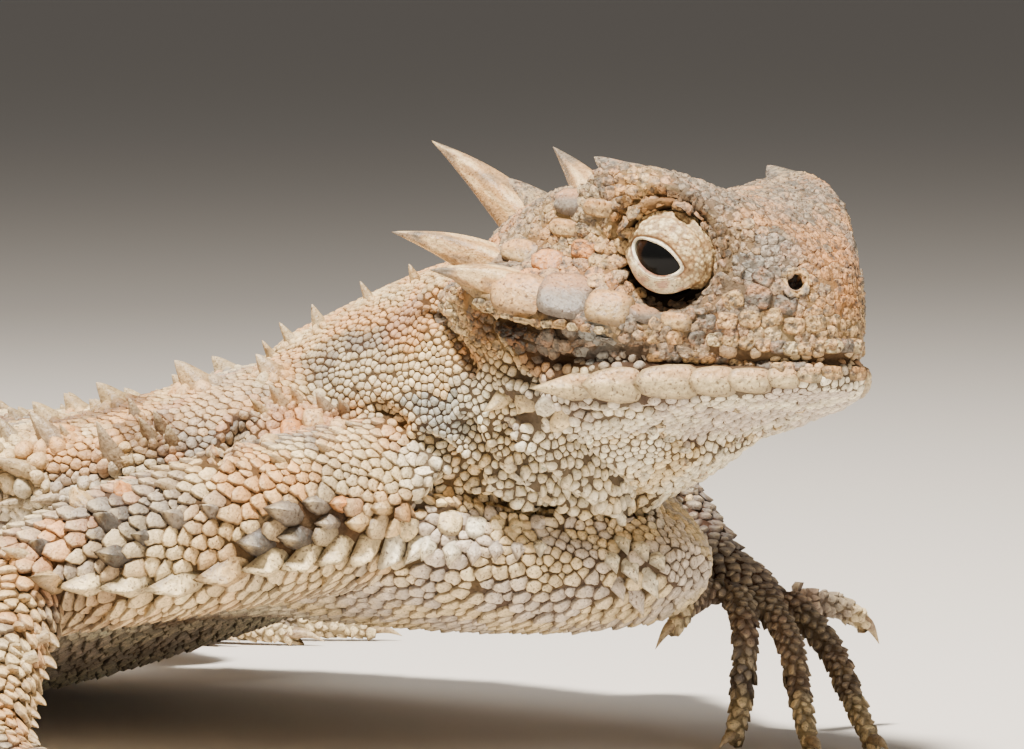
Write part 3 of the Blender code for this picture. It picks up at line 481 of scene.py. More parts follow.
# Folds of the near side, by pixels of the photograph: points of each, depth and half width
FOLDS = (
    (((559, 362), (574, 350), (600, 347), (643, 347)), 0.3, 0.16),
    (((486, 318), (500, 345), (512, 372), (536, 384)), 0.45, 0.3),
    (((530, 428), (564, 457), (598, 482), (622, 499)), -0.7, 0.42),
    (((558, 430), (585, 456), (614, 481), (642, 498)), 0.6, 0.26),
    (((510, 430), (526, 452), (551, 474), (582, 497)), 1.0, 0.3),
    (((470, 424), (492, 457), (524, 482), (566, 507), (600, 513)), 0.9, 0.28),
    (((440, 487), (489, 497), (540, 509), (600, 514), (640, 512)), 0.7, 0.28),
    (((430, 440), (455, 452), (480, 470)), 0.6, 0.3),
    (((418, 508), (441, 487), (462, 470)), 0.5, 0.3),
    (((220, 462), (232, 446), (243, 428)), 0.6, 0.24),
    (((488, 316), (520, 326), (560, 333)), 0.4, 0.24),
    (((618, 222), (628, 206), (644, 196), (664, 193), (684, 199), (702, 214), (716, 236), (722, 258)),
     0.4, 0.12),
    (((612, 240), (618, 222), (632, 203)), 0.3, 0.12),
    (((724, 232), (731, 252), (730, 274)), 0.3, 0.12),
    (((626, 292), (648, 304), (676, 310), (702, 304)), 0.3, 0.12),
    (((436, 300), (452, 330), (470, 368)), 0.5, 0.35),
    (((584, 412), (616, 413), (650, 408)), 0.3, 0.25),
    (((376, 408), (392, 414), (404, 424)), 0.35, 0.25),
)
# A ridge on each side of a fold: share of its depth, and how far off in half widths
RIDGE_SHARE, RIDGE_OFF = 0.35, 2.4
MOUTH_DEPTH, MOUTH_GAPE, MOUTH_HALF_WIDTH = 0.5, 0.12, 8.5
# Hollow that holds each eye and its lids: distance from its axis, and how far out the skin may stand
EYE_DISH = ((0.0, 0.9, 1.35, 1.7, 1.95, 2.3, 2.7), (1.25, 0.9, 0.45, 0.25, 0.5, 1.5, 3.5))
# Dent of the skull behind each brow's spine: middle in the head's own axes, half sizes and depth
BROW_DENT, BROW_DENT_SIZE, BROW_DENT_DEPTH = (6.8, 4.9, 7.1), (0.8, 1.6, 1.3), 1.0
NOSTRIL_HOLE, NOSTRIL_RIM, NOSTRIL_DEPTH = 0.42, 0.6, 0.9
# Profile of a nostril's rim, from its outer foot into the hole: distance from the middle and height
NOSTRIL_PROFILE = ((0.66, -0.14), (0.6, 0.02), (0.52, 0.09), (0.42, 0.1), (0.35, 0.04), (0.31, -0.06),
                   (0.28, -0.3), (0.02, -0.42))


def loft_mesh(parts):
    """All lofts as one mesh of closed shells that run into one another."""
    points, faces, start = [], [], 0
    for _, rings, _ in parts:
        count, sides = rings.shape[:2]
        last = start + (count - 1) * sides
        points.append(rings.reshape(-1, 3))
        faces += (wall_faces(count, sides) + start).tolist()
        faces += [[start + j for j in range(sides)][::-1], [last + j for j in range(sides)]]
        start += count * sides
    mesh = bpy.data.meshes.new("skin_source")
    mesh.from_pydata((np.concatenate(points) * MM).tolist(), [], faces)
    bm = bmesh.new()
    bm.from_mesh(mesh)
    bmesh.ops.recalc_face_normals(bm, faces=bm.faces)
    bm.to_mesh(mesh)
    bm.free()
    return mesh


def make_skin_mesh(parts):
    """One closed surface over all lofts, as points and square faces."""
    source = add_object("skin_source", loft_mesh(parts))
    remesh = source.modifiers.new("remesh", "REMESH")
    remesh.mode = "VOXEL"
    remesh.voxel_size = VOXEL * MM
    made = bpy.data.meshes.new_from_object(source.evaluated_get(bpy.context.evaluated_depsgraph_get()))
    points = np.empty(len(made.vertices) * 3)
    made.vertices.foreach_get("co", points)
    faces = np.empty(len(made.polygons) * 4, np.int32)
    made.loops.foreach_get("vertex_index", faces)
    bpy.data.objects.remove(source)
    return points.reshape(-1, 3) / MM, faces.reshape(-1, 4)


def point_normals(points, faces):
    """Unit normal at each point of a mesh of square faces."""
    a, b, c, d = (points[faces[:, k]] for k in range(4))
    across = np.cross(c - a, d - b)
    normals = np.zeros_like(points)
    for k in range(4):
        for axis in range(3):
            normals[:, axis] += np.bincount(faces[:, k], across[:, axis], len(points))
    return unit(normals)


def relax_mesh(points, faces, rounds):
    """Evens out a mesh without shrinking it."""
    ends = np.concatenate([faces[:, (k, (k + 1) % 4)] for k in range(4)])
    count = np.bincount(ends[:, 0], minlength=len(points))[:, None]
    for step in range(rounds * 2):
        sums = [np.bincount(ends[:, 0], points[ends[:, 1], axis], len(points)) for axis in range(3)]
        points = points + (0.55 if step % 2 == 0 else -0.57) * (np.stack(sums, 1) / count - points)
    return points


def surface_of(points, faces):
    """A surface to cast rays at and to find nearest points on."""
    return BVHTree.FromPolygons(points.tolist(), faces.tolist())


def cast_pixels(surface, pixels):
    """Points of a surface under pixels of the photograph, with None where it isn't hit."""
    hits = [surface.ray_cast(Vector(LENS_AT), Vector(pixel_ray(*pixel))) for pixel in pixels]
    return [None if hit[0] is None else (np.array(hit[0]), np.array(hit[1])) for hit in hits]


def distance_to_line(points, line):
    """Distance of points from a line through several places."""
    nearest = np.full(len(points), 1e9)
    for a, b in zip(line[:-1], line[1:]):
        share = np.clip(((points - a) @ (b - a)) / max((b - a) @ (b - a), 1e-9), 0, 1)
        nearest = np.minimum(nearest, np.linalg.norm(points - a - share[:, None] * (b - a), axis=1))
    return nearest


def from_eye(points, side):
    """How far points lie ahead of an eye's middle along its axis, and aside from that axis."""
    away, axis = points - head_to_world(mirrored(EYE_AT, side)), eye_axis(side)
    ahead = away @ axis
    return ahead, np.linalg.norm(away - ahead[:, None] * axis, axis=1)


def fold_depths(points, surface):
    """How far the mouth and the folds press each point of the skin in."""
    x, y, z = world_to_head(points).T
    off = (z - spline(MOUTH_X, MOUTH_LINE_Z, x)) / MOUTH_GAPE
    in_mouth = (x > MOUTH_X[0]) & (np.abs(y) < MOUTH_HALF_WIDTH)
    depths = np.where(in_mouth, MOUTH_DEPTH * np.exp(-off**2), 0) * smooth(5.8, 7.0, x)
    for pixels, depth, width in FOLDS:
        line = [hit[0] for hit in cast_pixels(surface, pixels) if hit]
        if len(line) > 1:
            near = distance_to_line(points, np.array(line))
            ridge = np.exp(-((near - RIDGE_OFF * width) / width) ** 2)
            depths += depth * np.exp(-(near / width) ** 2) - RIDGE_SHARE * depth * ridge
    return depths


def sculpt_skin(points, faces, surface, nostrils):
    """Presses the mouth, folds, brows' dents, eye hollows and nostrils into the skin."""
    points = points - point_normals(points, faces) * fold_depths(points, surface)[:, None]
    head_up = HEAD_TURN @ (0.0, 0.0, 1.0)
    for side in (1, -1):
        off = (world_to_head(points) - mirrored(BROW_DENT, side)) / BROW_DENT_SIZE
        points = points - head_up * (BROW_DENT_DEPTH * np.exp(-(off**2).sum(axis=1)))[:, None]
        ahead, aside = from_eye(points, side)
        near = (ahead > 0) & (aside < EYE_DISH[0][-1])
        over = np.where(near, np.maximum(ahead - np.interp(aside, *EYE_DISH), 0), 0)
        points = points - eye_axis(side) * over[:, None]
        middle, normal = nostrils[side]
        near = np.linalg.norm(points - middle, axis=1)
        points = points - normal * (NOSTRIL_DEPTH * np.exp(-(near / NOSTRIL_HOLE) ** 4))[:, None]
    return points


# Where the near eye's opening and nostril show, by pixels of the photograph
EYE_PIXEL = (658, 260)
NOSTRIL_PIXEL = (796, 282)


def eye_axis(side):
    """The way an eye looks out: towards the near opening's pixel, and mirrored on the far side."""
    eye = head_to_world(mirrored(EYE_AT, -1))
    ray = pixel_ray(*EYE_PIXEL)
    to_eye = eye - LENS_AT
    along = to_eye @ ray
    off = np.linalg.norm(to_eye - along * ray)
    hit = LENS_AT + ray * (along - math.sqrt(max((EYE_RADIUS + 0.3) ** 2 - off**2, 0.0)))
    local = (hit - eye) @ HEAD_TURN
    return unit(mirrored(local, -side) @ HEAD_TURN.T)


def nostril_place(surface, side):
    """Point and normal of the skin at a nostril."""
    hit = surface.ray_cast(Vector(LENS_AT), Vector(pixel_ray(*NOSTRIL_PIXEL)))
    point, normal = np.array(hit[0]), np.array(hit[1])
    if side < 0:
        return point, normal
    point = head_to_world(mirrored(world_to_head(point), -1))
    return np.array(surface.find_nearest(Vector(point))[0]), mirrored(normal @ HEAD_TURN, -1) @ HEAD_TURN.T


def field(points, frequency, octaves, offset=0.0):
    """Smooth noise at each point, about -0.5 to 0.5."""
    shifted = (np.asarray(points) + offset) * frequency
    return np.array([noise.fractal(Vector(p), 1.0, 2.0, octaves) for p in shifted])


# Lids: rings of a shell round the eyeball, from the opening's edge outwards

EYEBALL = 1.6
# Opening of the near eye, clockwise from its rear corner, by pixels of the photograph
OPENING = ((633.5, 246), (636.5, 240), (643, 239.5), (651, 242.5), (660, 247), (667, 252), (673, 257.5),
           (677.5, 263), (679, 268), (674.5, 272), (667, 274), (658, 274), (649, 270.5), (641, 264),
           (635.5, 255))
# Share of the way out from the opening, and radius there, for the upper and the lower lid
UPPER_LID = ((0.0, 1.53), (0.02, 1.63), (0.045, 1.7), (0.075, 1.71), (0.1, 1.68), (0.15, 1.76), (0.35, 1.85),
             (0.5, 1.88), (0.56, 1.82), (0.64, 1.93), (0.7, 1.86), (0.78, 1.98), (0.85, 1.9), (0.92, 2.02),
             (1.0, 1.9))
LOWER_LID = ((0.0, 1.53), (0.02, 1.63), (0.06, 1.7), (0.2, 1.77), (0.36, 1.8), (0.44, 1.77), (0.5, 1.66),
             (0.58, 1.56), (0.7, 1.52), (0.8, 1.5), (1.0, 1.5))
# How far round the eyeball the lids reach from its axis
LID_REACH = math.radians(96.0)
LID_SIDES, LID_RINGS = 220, 110
# Granules of the lids: how many to a millimetre, and how far they stand out
LID_GRAIN, LID_RELIEF = 5.6, 0.06


def to_sphere(pixel, radius):
    """Direction from the near eye's centre to where a pixel's ray meets a ball round it."""
    eye = head_to_world(mirrored(EYE_AT, -1))
    ray, to_eye = pixel_ray(*pixel), eye - LENS_AT
    along = to_eye @ ray
    off = to_eye - along * ray
    depth = math.sqrt(max(radius**2 - off @ off, 0.0))
    return unit((LENS_AT + ray * (along - depth) - eye) @ HEAD_TURN)


def lid_edges():
    """Directions from the left eye's middle to the opening's edge and to the lids' outer edge, and how much
    the upper lid has of each."""
    edge = np.array([to_sphere(pixel, EYEBALL + 0.06) for pixel in OPENING])
    middle = unit(edge.mean(0))
    closed = np.concatenate([edge[-2:], edge, edge[:3]])
    at = np.linspace(2, 2 + len(edge), LID_SIDES, endpoint=False)
    edge = unit(spline(np.arange(len(closed)), closed, at))
    axis = unit((eye_axis(-1)) @ HEAD_TURN)
    away = unit(edge - (edge @ middle)[:, None] * middle)
    spread = unit(away - (away @ axis)[:, None] * axis)
    outer = math.cos(LID_REACH) * axis + math.sin(LID_REACH) * spread
    rise = np.maximum(smooth(-0.25, 0.25, spread[:, 2] + 0.12), smooth(0.35, 0.75, spread[:, 0]))
    return edge, outer, rise


def lid_rings(side):
    """Rings of the lids of one eye as points, with each ring's share of the way out, how much the upper
    lid has of each place round the eye, and the granules."""
    edge, outer, rise = lid_edges()
    shares = np.linspace(0, 1, LID_RINGS) ** 1.25
    rings = []
    for share in shares:
        low, high = (spline(*np.array(lid).T, share)[0] for lid in (LOWER_LID, UPPER_LID))
        radius = low * (1 - rise) + high * rise
        rings.append(unit(edge * (1 - share) + outer * share) * radius[:, None])
    rings = np.array(rings)
    if side > 0:
        rings = (rings * (1, -1, 1))[:, ::-1]
        rise = rise[::-1]
    grain = np.array([noise.voronoi(Vector(p * LID_GRAIN))[0][0] for p in rings.reshape(-1, 3)])
    grain = grain.reshape(rings.shape[:2])
    share = shares[:, None]
    grainy = smooth(0.14, 0.2, share) * rise + smooth(0.52, 0.58, share) * (1 - rise)
    band = smooth(0.05, 0.1, share) * smooth(0.42, 0.38, share)
    striped = 0.012 * np.sin(share * 150) * band * (1 - rise)
    rings = rings + unit(rings) * (LID_RELIEF * grainy * (0.45 - grain) + striped)[..., None]
    return head_to_world(mirrored(EYE_AT, side)) + rings @ HEAD_TURN.T, shares, rise, grain


def lid_colours(shares, rise, points, grain):
    """Pale margin above, pink striated band below with painted shade in the groove beyond it, then the
    head's own tan.
    """
    share, high = np.meshgrid(shares, rise, indexing="ij")
    speckle = field(points.reshape(-1, 3), 2.2, 3).reshape(share.shape)
    lower = mix(CREAM, tint(190, 152, 124), smooth(-0.3, 0.4, np.sin(share * 140) + speckle * 3))
    lower = mix(lower, WHITE, 0.6 * smooth(-0.1, 0.3, -speckle))
    lower = mix(tint(150, 100, 72), lower, smooth(0.03, 0.1, share))
    # Painted shade: the groove beyond the lower lid's band is darkened to near black
    lower = mix(lower, DARK * 0.6, smooth(0.42, 0.47, share))
    outside = mix(CREAM, TAN, smooth(-0.1, 0.4, speckle))
    outside = mix(outside, BROWN, 0.7 * smooth(0.3, 0.6, grain))
    upper = mix(WHITE, BROWN, smooth(0.1, 0.125, share))
    upper = mix(upper, outside, smooth(0.135, 0.17, share))
    return mix(mix(lower, upper, high), DARK, smooth(0.03, 0.0, share)).reshape(-1, 3)


# Where the scales lie: sizes and shapes by part of the body

def trunk_level(points):
    """Height above the flank's fringe."""
    table = np.array(TRUNK)
    return points[:, 2] - spline(table[:, 0], table[:, 2], points[:, 0])


def scale_shapes(points, normals, place):
    """Spacing, height, tilt, keel and pointedness of the scales at each point."""
    count = len(points)
    shape = {"size": np.full(count, 0.6), "height": np.full(count, 0.2), "tilt": np.full(count, 0.08),
             "keel": np.full(count, 0.1), "tip": np.full(count, 0.25)}

    def put(where, **values):
        for key, value in values.items():
            shape[key] = np.where(where, value, shape[key])

    part = place["part"]
    x, _, z = world_to_head(points).T
    up = (normals @ HEAD_TURN)[:, 2]
    trunk, head = part == "trunk", part == "head"
    level = trunk_level(points)
    rear = smooth(10, -12, points[:, 0])
    put(trunk, size=0.42 + 0.26 * rear, height=0.15, tilt=0.16, keel=0.16, tip=0.3)
    put(trunk & (level < -0.6), size=0.6 + 0.12 * rear, height=0.08, tilt=0.3, keel=0.0, tip=0.85)
    put(part == "neck", size=0.34, height=0.2, tilt=0.06, keel=0.0, tip=0.1)
    put((part == "neck") & (points[:, 2] < 12.5), size=0.46, height=0.2, tilt=0.14, tip=0.5)
    put(part == "tail", size=0.66, height=0.14, tilt=0.25, keel=0.3, tip=0.6)
    put(head, size=0.46, height=0.1, tilt=0.05, keel=0.0, tip=0.1)
    put(head & (up > 0.5), size=0.42, height=0.08)
    put(head & (x < 9.5) & (z > 0.4) & (z < 4.2), size=0.55, height=0.09, keel=0.1, tip=0.2)
    put(head & (x > 11.5) & (z > 0.4), size=0.43, height=0.09)
    put(head & (z < -0.1), size=0.38, height=0.16)
    put(head & (z < -1.9), size=0.42, height=0.22, tilt=0.14, tip=0.5)
    put(head & (x < 4.0) & (z < 3.0), size=0.32, height=0.2)
    put(np.char.startswith(part, "upper_"), size=0.58, height=0.06, tilt=0.3, keel=0.26, tip=0.95)
    put((part == "upper_arm_right") & (level > 1.5), size=0.46, tilt=0.24, keel=0.12)
    put(np.char.startswith(part, "lower_"), size=0.6, height=0.06, tilt=0.3, keel=0.22, tip=0.9)
    put(np.char.startswith(part, "palm_"), size=0.46, height=0.1, tilt=0.26, keel=0.1, tip=0.6)
    put(np.char.startswith(part, "digit_"), size=0.42, height=0.08, tilt=0.3, keel=0.12, tip=0.7)
    under = (normals[:, 2] < -0.5) & ~head & ~trunk & (part != "neck")
    put(under, keel=0.0)
    return shape


# Markings shared by the skin and its scales, with painted shadow and shade in some places

# Patches of colour on the near side, some of them painted shadow and half-shadow: pixel of the photograph,
# radius in millimetres, colour, strength
PATCHES = (
    ((521, 288), 1.3, ORANGE, 0.75), ((480, 262), 1.1, ORANGE, 0.6), ((590, 272), 1.2, ORANGE, 0.5),
    ((600, 240), 1.3, TAN, 0.5), ((565, 300), 0.8, GREY, 0.6), ((646, 330), 1.0, TAN, 0.5),
    ((740, 300), 1.4, GREY, 0.5), ((775, 262), 1.2, BLUISH, 0.45), ((822, 262), 1.3, ORANGE, 0.4),
    ((835, 320), 1.3, TAN, 0.6), ((850, 300), 0.8, ORANGE, 0.4), ((780, 340), 1.0, CREAM, 0.4),
    # Painted shadow: the DARK patches here and at (478, 322) darken the skin under the temple's shelf behind
    # the jaw; the slate, grey and bluish patches from (555, 352) to (655, 352) are partly the scales' own
    # grey and partly painted half-shadow
    ((528, 336), 1.2, DARK, 0.9), ((505, 330), 0.7, DARK, 0.9), ((570, 340), 1.2, SLATE, 0.75),
    ((478, 322), 0.8, DARK, 0.7), ((610, 350), 1.2, GREY, 0.8), ((655, 352), 1.0, GREY, 0.6),
    ((600, 340), 1.0, BLUISH, 0.6), ((630, 345), 0.9, GREY, 0.6), ((555, 352), 0.8, GREY, 0.5),
    ((590, 190), 1.5, GREY, 0.5), ((700, 185), 1.6, GREY, 0.55), ((640, 178), 0.9, TAN, 0.5),
    ((660, 205), 0.8, ORANGE, 0.35), ((760, 205), 1.6, GREY, 0.5), ((720, 330), 0.8, ORANGE, 0.35),
    ((440, 418), 1.2, BLUISH, 0.8), ((430, 470), 1.3, WHITE, 0.7), ((560, 450), 2.6, WHITE, 0.7),
    ((500, 450), 1.3, CREAM, 0.6), ((600, 470), 2.0, WHITE, 0.6), ((650, 430), 1.6, WHITE, 0.4),
    ((90, 380), 1.6, GREY, 0.4), ((150, 430), 1.3, BROWN, 0.8), ((60, 440), 1.2, ORANGE, 0.5),
    ((215, 400), 1.8, PEACH, 0.6), ((290, 430), 1.6, ORANGE, 0.45), ((340, 440), 1.4, PEACH, 0.5),
    ((250, 480), 1.6, ORANGE, 0.5), ((180, 500), 1.3, GREY, 0.6), ((110, 520), 1.2, SLATE, 0.7),
    ((60, 540), 1.2, ORANGE, 0.5), ((300, 530), 1.5, SLATE, 0.5), ((370, 480), 1.4, CREAM, 0.6),
    ((220, 545), 1.2, TAN, 0.5), ((350, 590), 2.4, LILAC, 0.5), ((160, 575), 1.2, CREAM, 0.6),
    ((300, 575), 1.4, CREAM, 0.6), ((200, 615), 2.0, BROWN, 0.6), ((80, 610), 1.6, BROWN, 0.6),
    ((20, 480), 1.2, CREAM, 0.6), ((20, 520), 1.2, WHITE, 0.6),
)
BACK_BANDS = (9.0, -0.5, -10.0, -19.0)
# Waves of the markings, broad to fine: waves per millimetre, octaves and offset
COLOUR_WAVES = ((0.16, 3, 3), (0.5, 3, 17), (1.5, 2, 31))


def back_colours(points, base, broad, middling):
    """The back: a pale stripe along its middle and dark wavy bands with pale rear edges."""
    x, y = points[:, 0], np.abs(points[:, 1])
    back = mix(base, CREAM, 0.65 * smooth(1.9, 0.9, y + 1.5 * middling))
    for middle in BACK_BANDS:
        wave = x - middle + 2.2 * broad * 2 + 0.12 * y
        band = np.exp(-(wave / 1.9) ** 4) * smooth(1.1, 2.2, y + middling) * smooth(15.5, 12.0, y)
        edge = np.exp(-((wave + 2.9) / 0.8) ** 2) * smooth(1.1, 2.2, y) * smooth(15.5, 12.0, y)
        back = mix(back, BROWN * 0.6, 0.85 * band)
        back = mix(back, CREAM, 0.6 * edge)
    return back


def front_colours(points, part, colour, broad, middling):
    """The chest's lilac and cream, the dark collar and the throat laid over the colours so far."""
    x, y, z = points[:, 0], np.abs(points[:, 1]), points[:, 2]
    chest = smooth(14, 17, x) * smooth(12.8, 11.8, z) * ((part == "trunk") | (part == "neck"))
    colour = mix(colour, mix(LILAC, CREAM, smooth(-0.1, 0.2, middling)), 0.85 * chest)
    collar = np.exp(-((x - 17.5) / 2.2) ** 2 - ((y - 7.5) / 2.6) ** 2) * (z > 13.5)
    colour = mix(colour, DARK * 1.6, 0.35 * collar * smooth(-0.3, 0.1, broad))
    throat = (part == "neck") * smooth(17.0, 15.0, z) * (0.25 + 0.75 * smooth(21, 26, x))
    return mix(colour, mix(WHITE, CREAM, smooth(-0.2, 0.3, middling)), throat)


def head_colours(points, normals, base, broad, middling):
    """The head: a grey-brown crown with orange, warmer sides and a pale chin."""
    local, up = world_to_head(points), (normals @ HEAD_TURN)[:, 2]
    crown = mix(tint(172, 146, 112), SLATE, 0.5 * smooth(0.0, 0.3, middling))
    crown = mix(crown, ORANGE, 0.5 * smooth(0.12, 0.3, -middling + 0.4 * broad))
    sides = mix(base, ORANGE, 0.25 * smooth(0.0, 0.3, broad))
    sides = mix(sides, tint(176, 150, 112), 0.6 * smooth(9.5, 12, local[:, 0]))
    chin = mix(WHITE * 0.95, LILAC, smooth(-0.2, 0.2, middling))
    return mix(mix(sides, crown, smooth(0.25, 0.6, up)) * 0.84, chin, smooth(-0.3, -1.4, local[:, 2]))


def limb_colours(normals, place, colour, base):
    """The limbs, paler below, with painted shade on the near side's lifted arm and the digits barred."""
    part, along = place["part"], place["along"]
    limb = ~np.isin(part, tuple(ATLAS))
    under = smooth(0.1, -0.5, normals[:, 2])
    colour = np.where(limb[:, None], 1.1 * mix(base, CREAM, 0.55 * under), colour)
    # Painted shade: the left arm's lower part and palm are darkened to grey
    colour = mix(colour, SHADE, 0.85 * np.isin(part, ("lower_arm_left", "palm_arm_left")))
    toes = mix(mix(base, SHADE, 0.75), CREAM, 0.9 * smooth(0.35, 0.6, along + 0.08 * np.sin(along * 40)))
    return np.where(np.char.startswith(part, "digit_")[:, None], toes, colour)


def markings_and_painted_shade(points, normals, place, patches):
    """Colour of the animal at each point of its surface, with painted shadow from some patches and painted
    shade on the lifted arm.
    """
    part, level = place["part"], trunk_level(points)
    broad, middling, fine = (field(points, *waves) for waves in COLOUR_WAVES)
    base = mix(TAN, GREY, smooth(-0.12, 0.3, broad))
    base = mix(base, ORANGE, 0.45 * smooth(0.1, 0.4, middling))
    base = mix(base, CREAM, 0.6 * smooth(0.12, 0.36, -middling))
    belly = mix(LILAC, WHITE, smooth(-0.2, 0.3, broad))
    belly = mix(belly, GREY, 0.55 * smooth(0.2, 0.34, middling))
    colour = mix(base, belly, smooth(0.3, -1.2, level))
    flank = mix(belly, back_colours(points, base, broad, middling), smooth(-1.0, 0.4, level))
    colour = np.where(((part == "trunk") & (level > -1.0))[:, None], flank, colour)
    colour = front_colours(points, part, colour, broad, middling)
    head = head_colours(points, normals, base, broad, middling)
    colour = np.where((part == "head")[:, None], head, colour)
    colour = limb_colours(normals, place, colour, base)
    rings = smooth(0.55, 0.9, np.sin(points[:, 0] * 1.05 + 2 * broad))
    colour = mix(colour, BROWN * 0.7, 0.7 * (rings * (part == "tail") * (normals[:, 2] > -0.2)))
    for middle, radius, patch, strength in patches:
        near = np.linalg.norm(points - middle, axis=1)
        colour = mix(colour, patch, strength * smooth(1.25, 0.65, near / radius + 0.8 * fine))
    return colour * (1 + 0.22 * fine)[:, None]


def patch_places(surface):
    """The patches' middles on the skin, and their mirrored twins on the head's far side."""
    places = []
    hits = cast_pixels(surface, [patch[0] for patch in PATCHES])
    for (_, radius, colour, strength), hit in zip(PATCHES, hits):
        if hit is None:
            continue
        places.append((hit[0], radius, colour, strength))
        local = world_to_head(hit[0])
        if local[0] > 2 and local[2] > -4.6:
            places.append((head_to_world(mirrored(local, -1)), radius, colour, strength))
    return places


# Atlas places: corner and size of each part's own unwrap
ATLAS = {"trunk": (0.01, 0.01, 0.6, 0.53), "head": (0.63, 0.01, 0.36, 0.53), "neck": (0.01, 0.56, 0.3, 0.18),
         "tail": (0.32, 0.56, 0.3, 0.18), "lids": (0.64, 0.56, 0.35, 0.04)}
LIMB_CELLS, LIMB_BAND = (8, 4), (0.75, 0.24)


def atlas_corners(names):
    """Corner and size of each part's unwrap: the limbs' parts have a cell each in a band along the top."""
    columns, rows = LIMB_CELLS
    wide, high = 1 / columns, LIMB_BAND[1] / rows
    cells = {}
    for k, name in enumerate(name for name in names if name not in ATLAS):
        left, low = k % columns * wide, LIMB_BAND[0] + k // columns * high
        cells[name] = (left + 0.004, low + 0.002, wide - 0.01, high - 0.006)
    return np.array([{**ATLAS, **cells}[name] for name in names])


# Scales

# How near two scales may come, in spacings, and a reach past any neighbour
CLOSEST, FAR = 0.8, 9
NEIGHBOURS = 12
SEAM_SHARE, WIDEST, GRANULE_WIDEST = 0.97, 1.0, 0.74


def tree_of(points):
    """Search tree of the points."""
    tree = KDTree(len(points))
    for k, point in enumerate(points):
        tree.insert(point, k)
    tree.balance()
    return tree


def row_error(place, sizes):
    """How far each point is from the nearest place of a regular pattern of rows, in spacings."""
    a, b = place["length"] / (sizes * 0.866), place["girth"] / sizes
    row = np.round(a)
    off = b - 0.5 * (row % 2)
    return np.hypot((a - row) * 0.866, off - np.round(off))


def fill_gaps(points, normals, sizes, kept_points):
    """Candidates that lie in the holes left between the kept scales and the plates, made smaller."""
    tree = tree_of(kept_points)
    nearest = np.array([tree.find(p)[2] for p in points])
    free = np.flatnonzero(nearest > 0.68 * sizes)
    small = sizes[free] * 0.7
    chosen = thin_out(points[free], normals[free], small)
    return free[chosen], small[chosen]


def thin_out(points, normals, sizes):
    """Keeps points that lie at least about one spacing apart, in the order given."""
    tree, gone, kept = tree_of(points), np.zeros(len(points), bool), []
    for i in range(len(points)):
        if gone[i]:
            continue
        kept.append(i)
        for _, j, distance in tree.find_range(points[i], CLOSEST * sizes[i] * 1.2):
            if j > i and distance < CLOSEST * (sizes[i] + sizes[j]) / 2 and normals[i] @ normals[j] > 0:
                gone[j] = True
    return np.array(kept)


def neighbours_of(points, count):
    """The nearest other points of each point."""
    tree = tree_of(points)
    found = [[j for _, j, _ in tree.find_n(p, count + 1)][1:] for p in points]
    return np.array(found)


def even_out(points, sizes, surface):
    """Pushes crowded scales apart along the skin."""
    near = neighbours_of(points, 7)
    away = points[:, None] - points[near]
    distance = np.maximum(np.linalg.norm(away, axis=2), 1e-6)
    wanted = (sizes[:, None] + sizes[near]) / 2
    shift = (away / distance[..., None] * np.clip(wanted - distance, 0, None)[..., None]).sum(1) * 0.3
    moved = points + shift
    found = [surface.find_nearest(Vector(p)) for p in moved]
    return np.array([f[0] for f in found]), np.array([f[1] for f in found])


def cell_reach(points, normals, lies, sizes, angles, apart):
    """How far each scale reaches at each angle before it meets its neighbours, and how its skin bends."""
    near = neighbours_of(points, NEIGHBOURS)
    across = np.cross(normals, lies)
    away = points[near] - points[:, None]
    a = np.einsum("nkj,nj->nk", away, lies)
    b = np.einsum("nkj,nj->nk", away, across)
    h = np.einsum("nkj,nj->nk", away, normals)
    facing = np.einsum("nkj,nj->nk", normals[near], normals) > 0.1
    distance = np.hypot(a, b) + 1e-6
    share = sizes[:, None] / (sizes[:, None] + sizes[near])
    cosine = np.cos(angles[None, None] - np.arctan2(b, a)[..., None])
    meet = (share * distance)[..., None] / np.maximum(cosine, 0.12)
    reach = np.where((cosine > 0.12) & facing[..., None], meet, FAR)
    reach = np.minimum(reach.min(axis=1), (np.where(apart, GRANULE_WIDEST, WIDEST) * sizes)[:, None])
    weight = facing * np.exp(-(distance / (1.6 * sizes[:, None])) ** 2)
    aa, bb, ab = ((weight * f * g).sum(1) for f, g in ((a**2, a**2), (b**2, b**2), (a**2, b**2)))
    ha, hb = (weight * h * a**2).sum(1), (weight * h * b**2).sum(1)
    det = np.maximum(aa * bb - ab**2, 1e-9)
    bend = np.stack([-2 * (ha * bb - hb * ab) / det, -2 * (hb * aa - ha * ab) / det], 1)
    return reach * SEAM_SHARE, np.clip(bend, -0.9, 1.7)


def close_up(reach, share):
    """Widens the scales that touch one another, such as the skull's."""
    return reach * (1 + 0.045 * share[:, None])


def tangents(lies, normals):
    """Directions laid flat onto the skin."""
    return unit(lies - (lies * normals).sum(axis=-1, keepdims=True) * normals)


FINE_RINGS, FLAT_RINGS, PLAIN_RINGS = (0.5, 0.9, 1.04), (0.84, 0.97, 1.03), (0.8, 0.97, 1.04)
PLATE_RINGS = (0.12, 0.24, 0.36, 0.48, 0.6, 0.72, 0.83, 0.92, 0.99, 1.05)
SUNK = 0.16
# How much of its tilt lifts a scale's root clear of the skin
LIFT = 0.75
# Size of the patch of a scale and of a point on the unwrap
SCALE_PATCH, POINT_PATCH = 0.0014, 0.0028
MOST_TRIANGLES = 190000


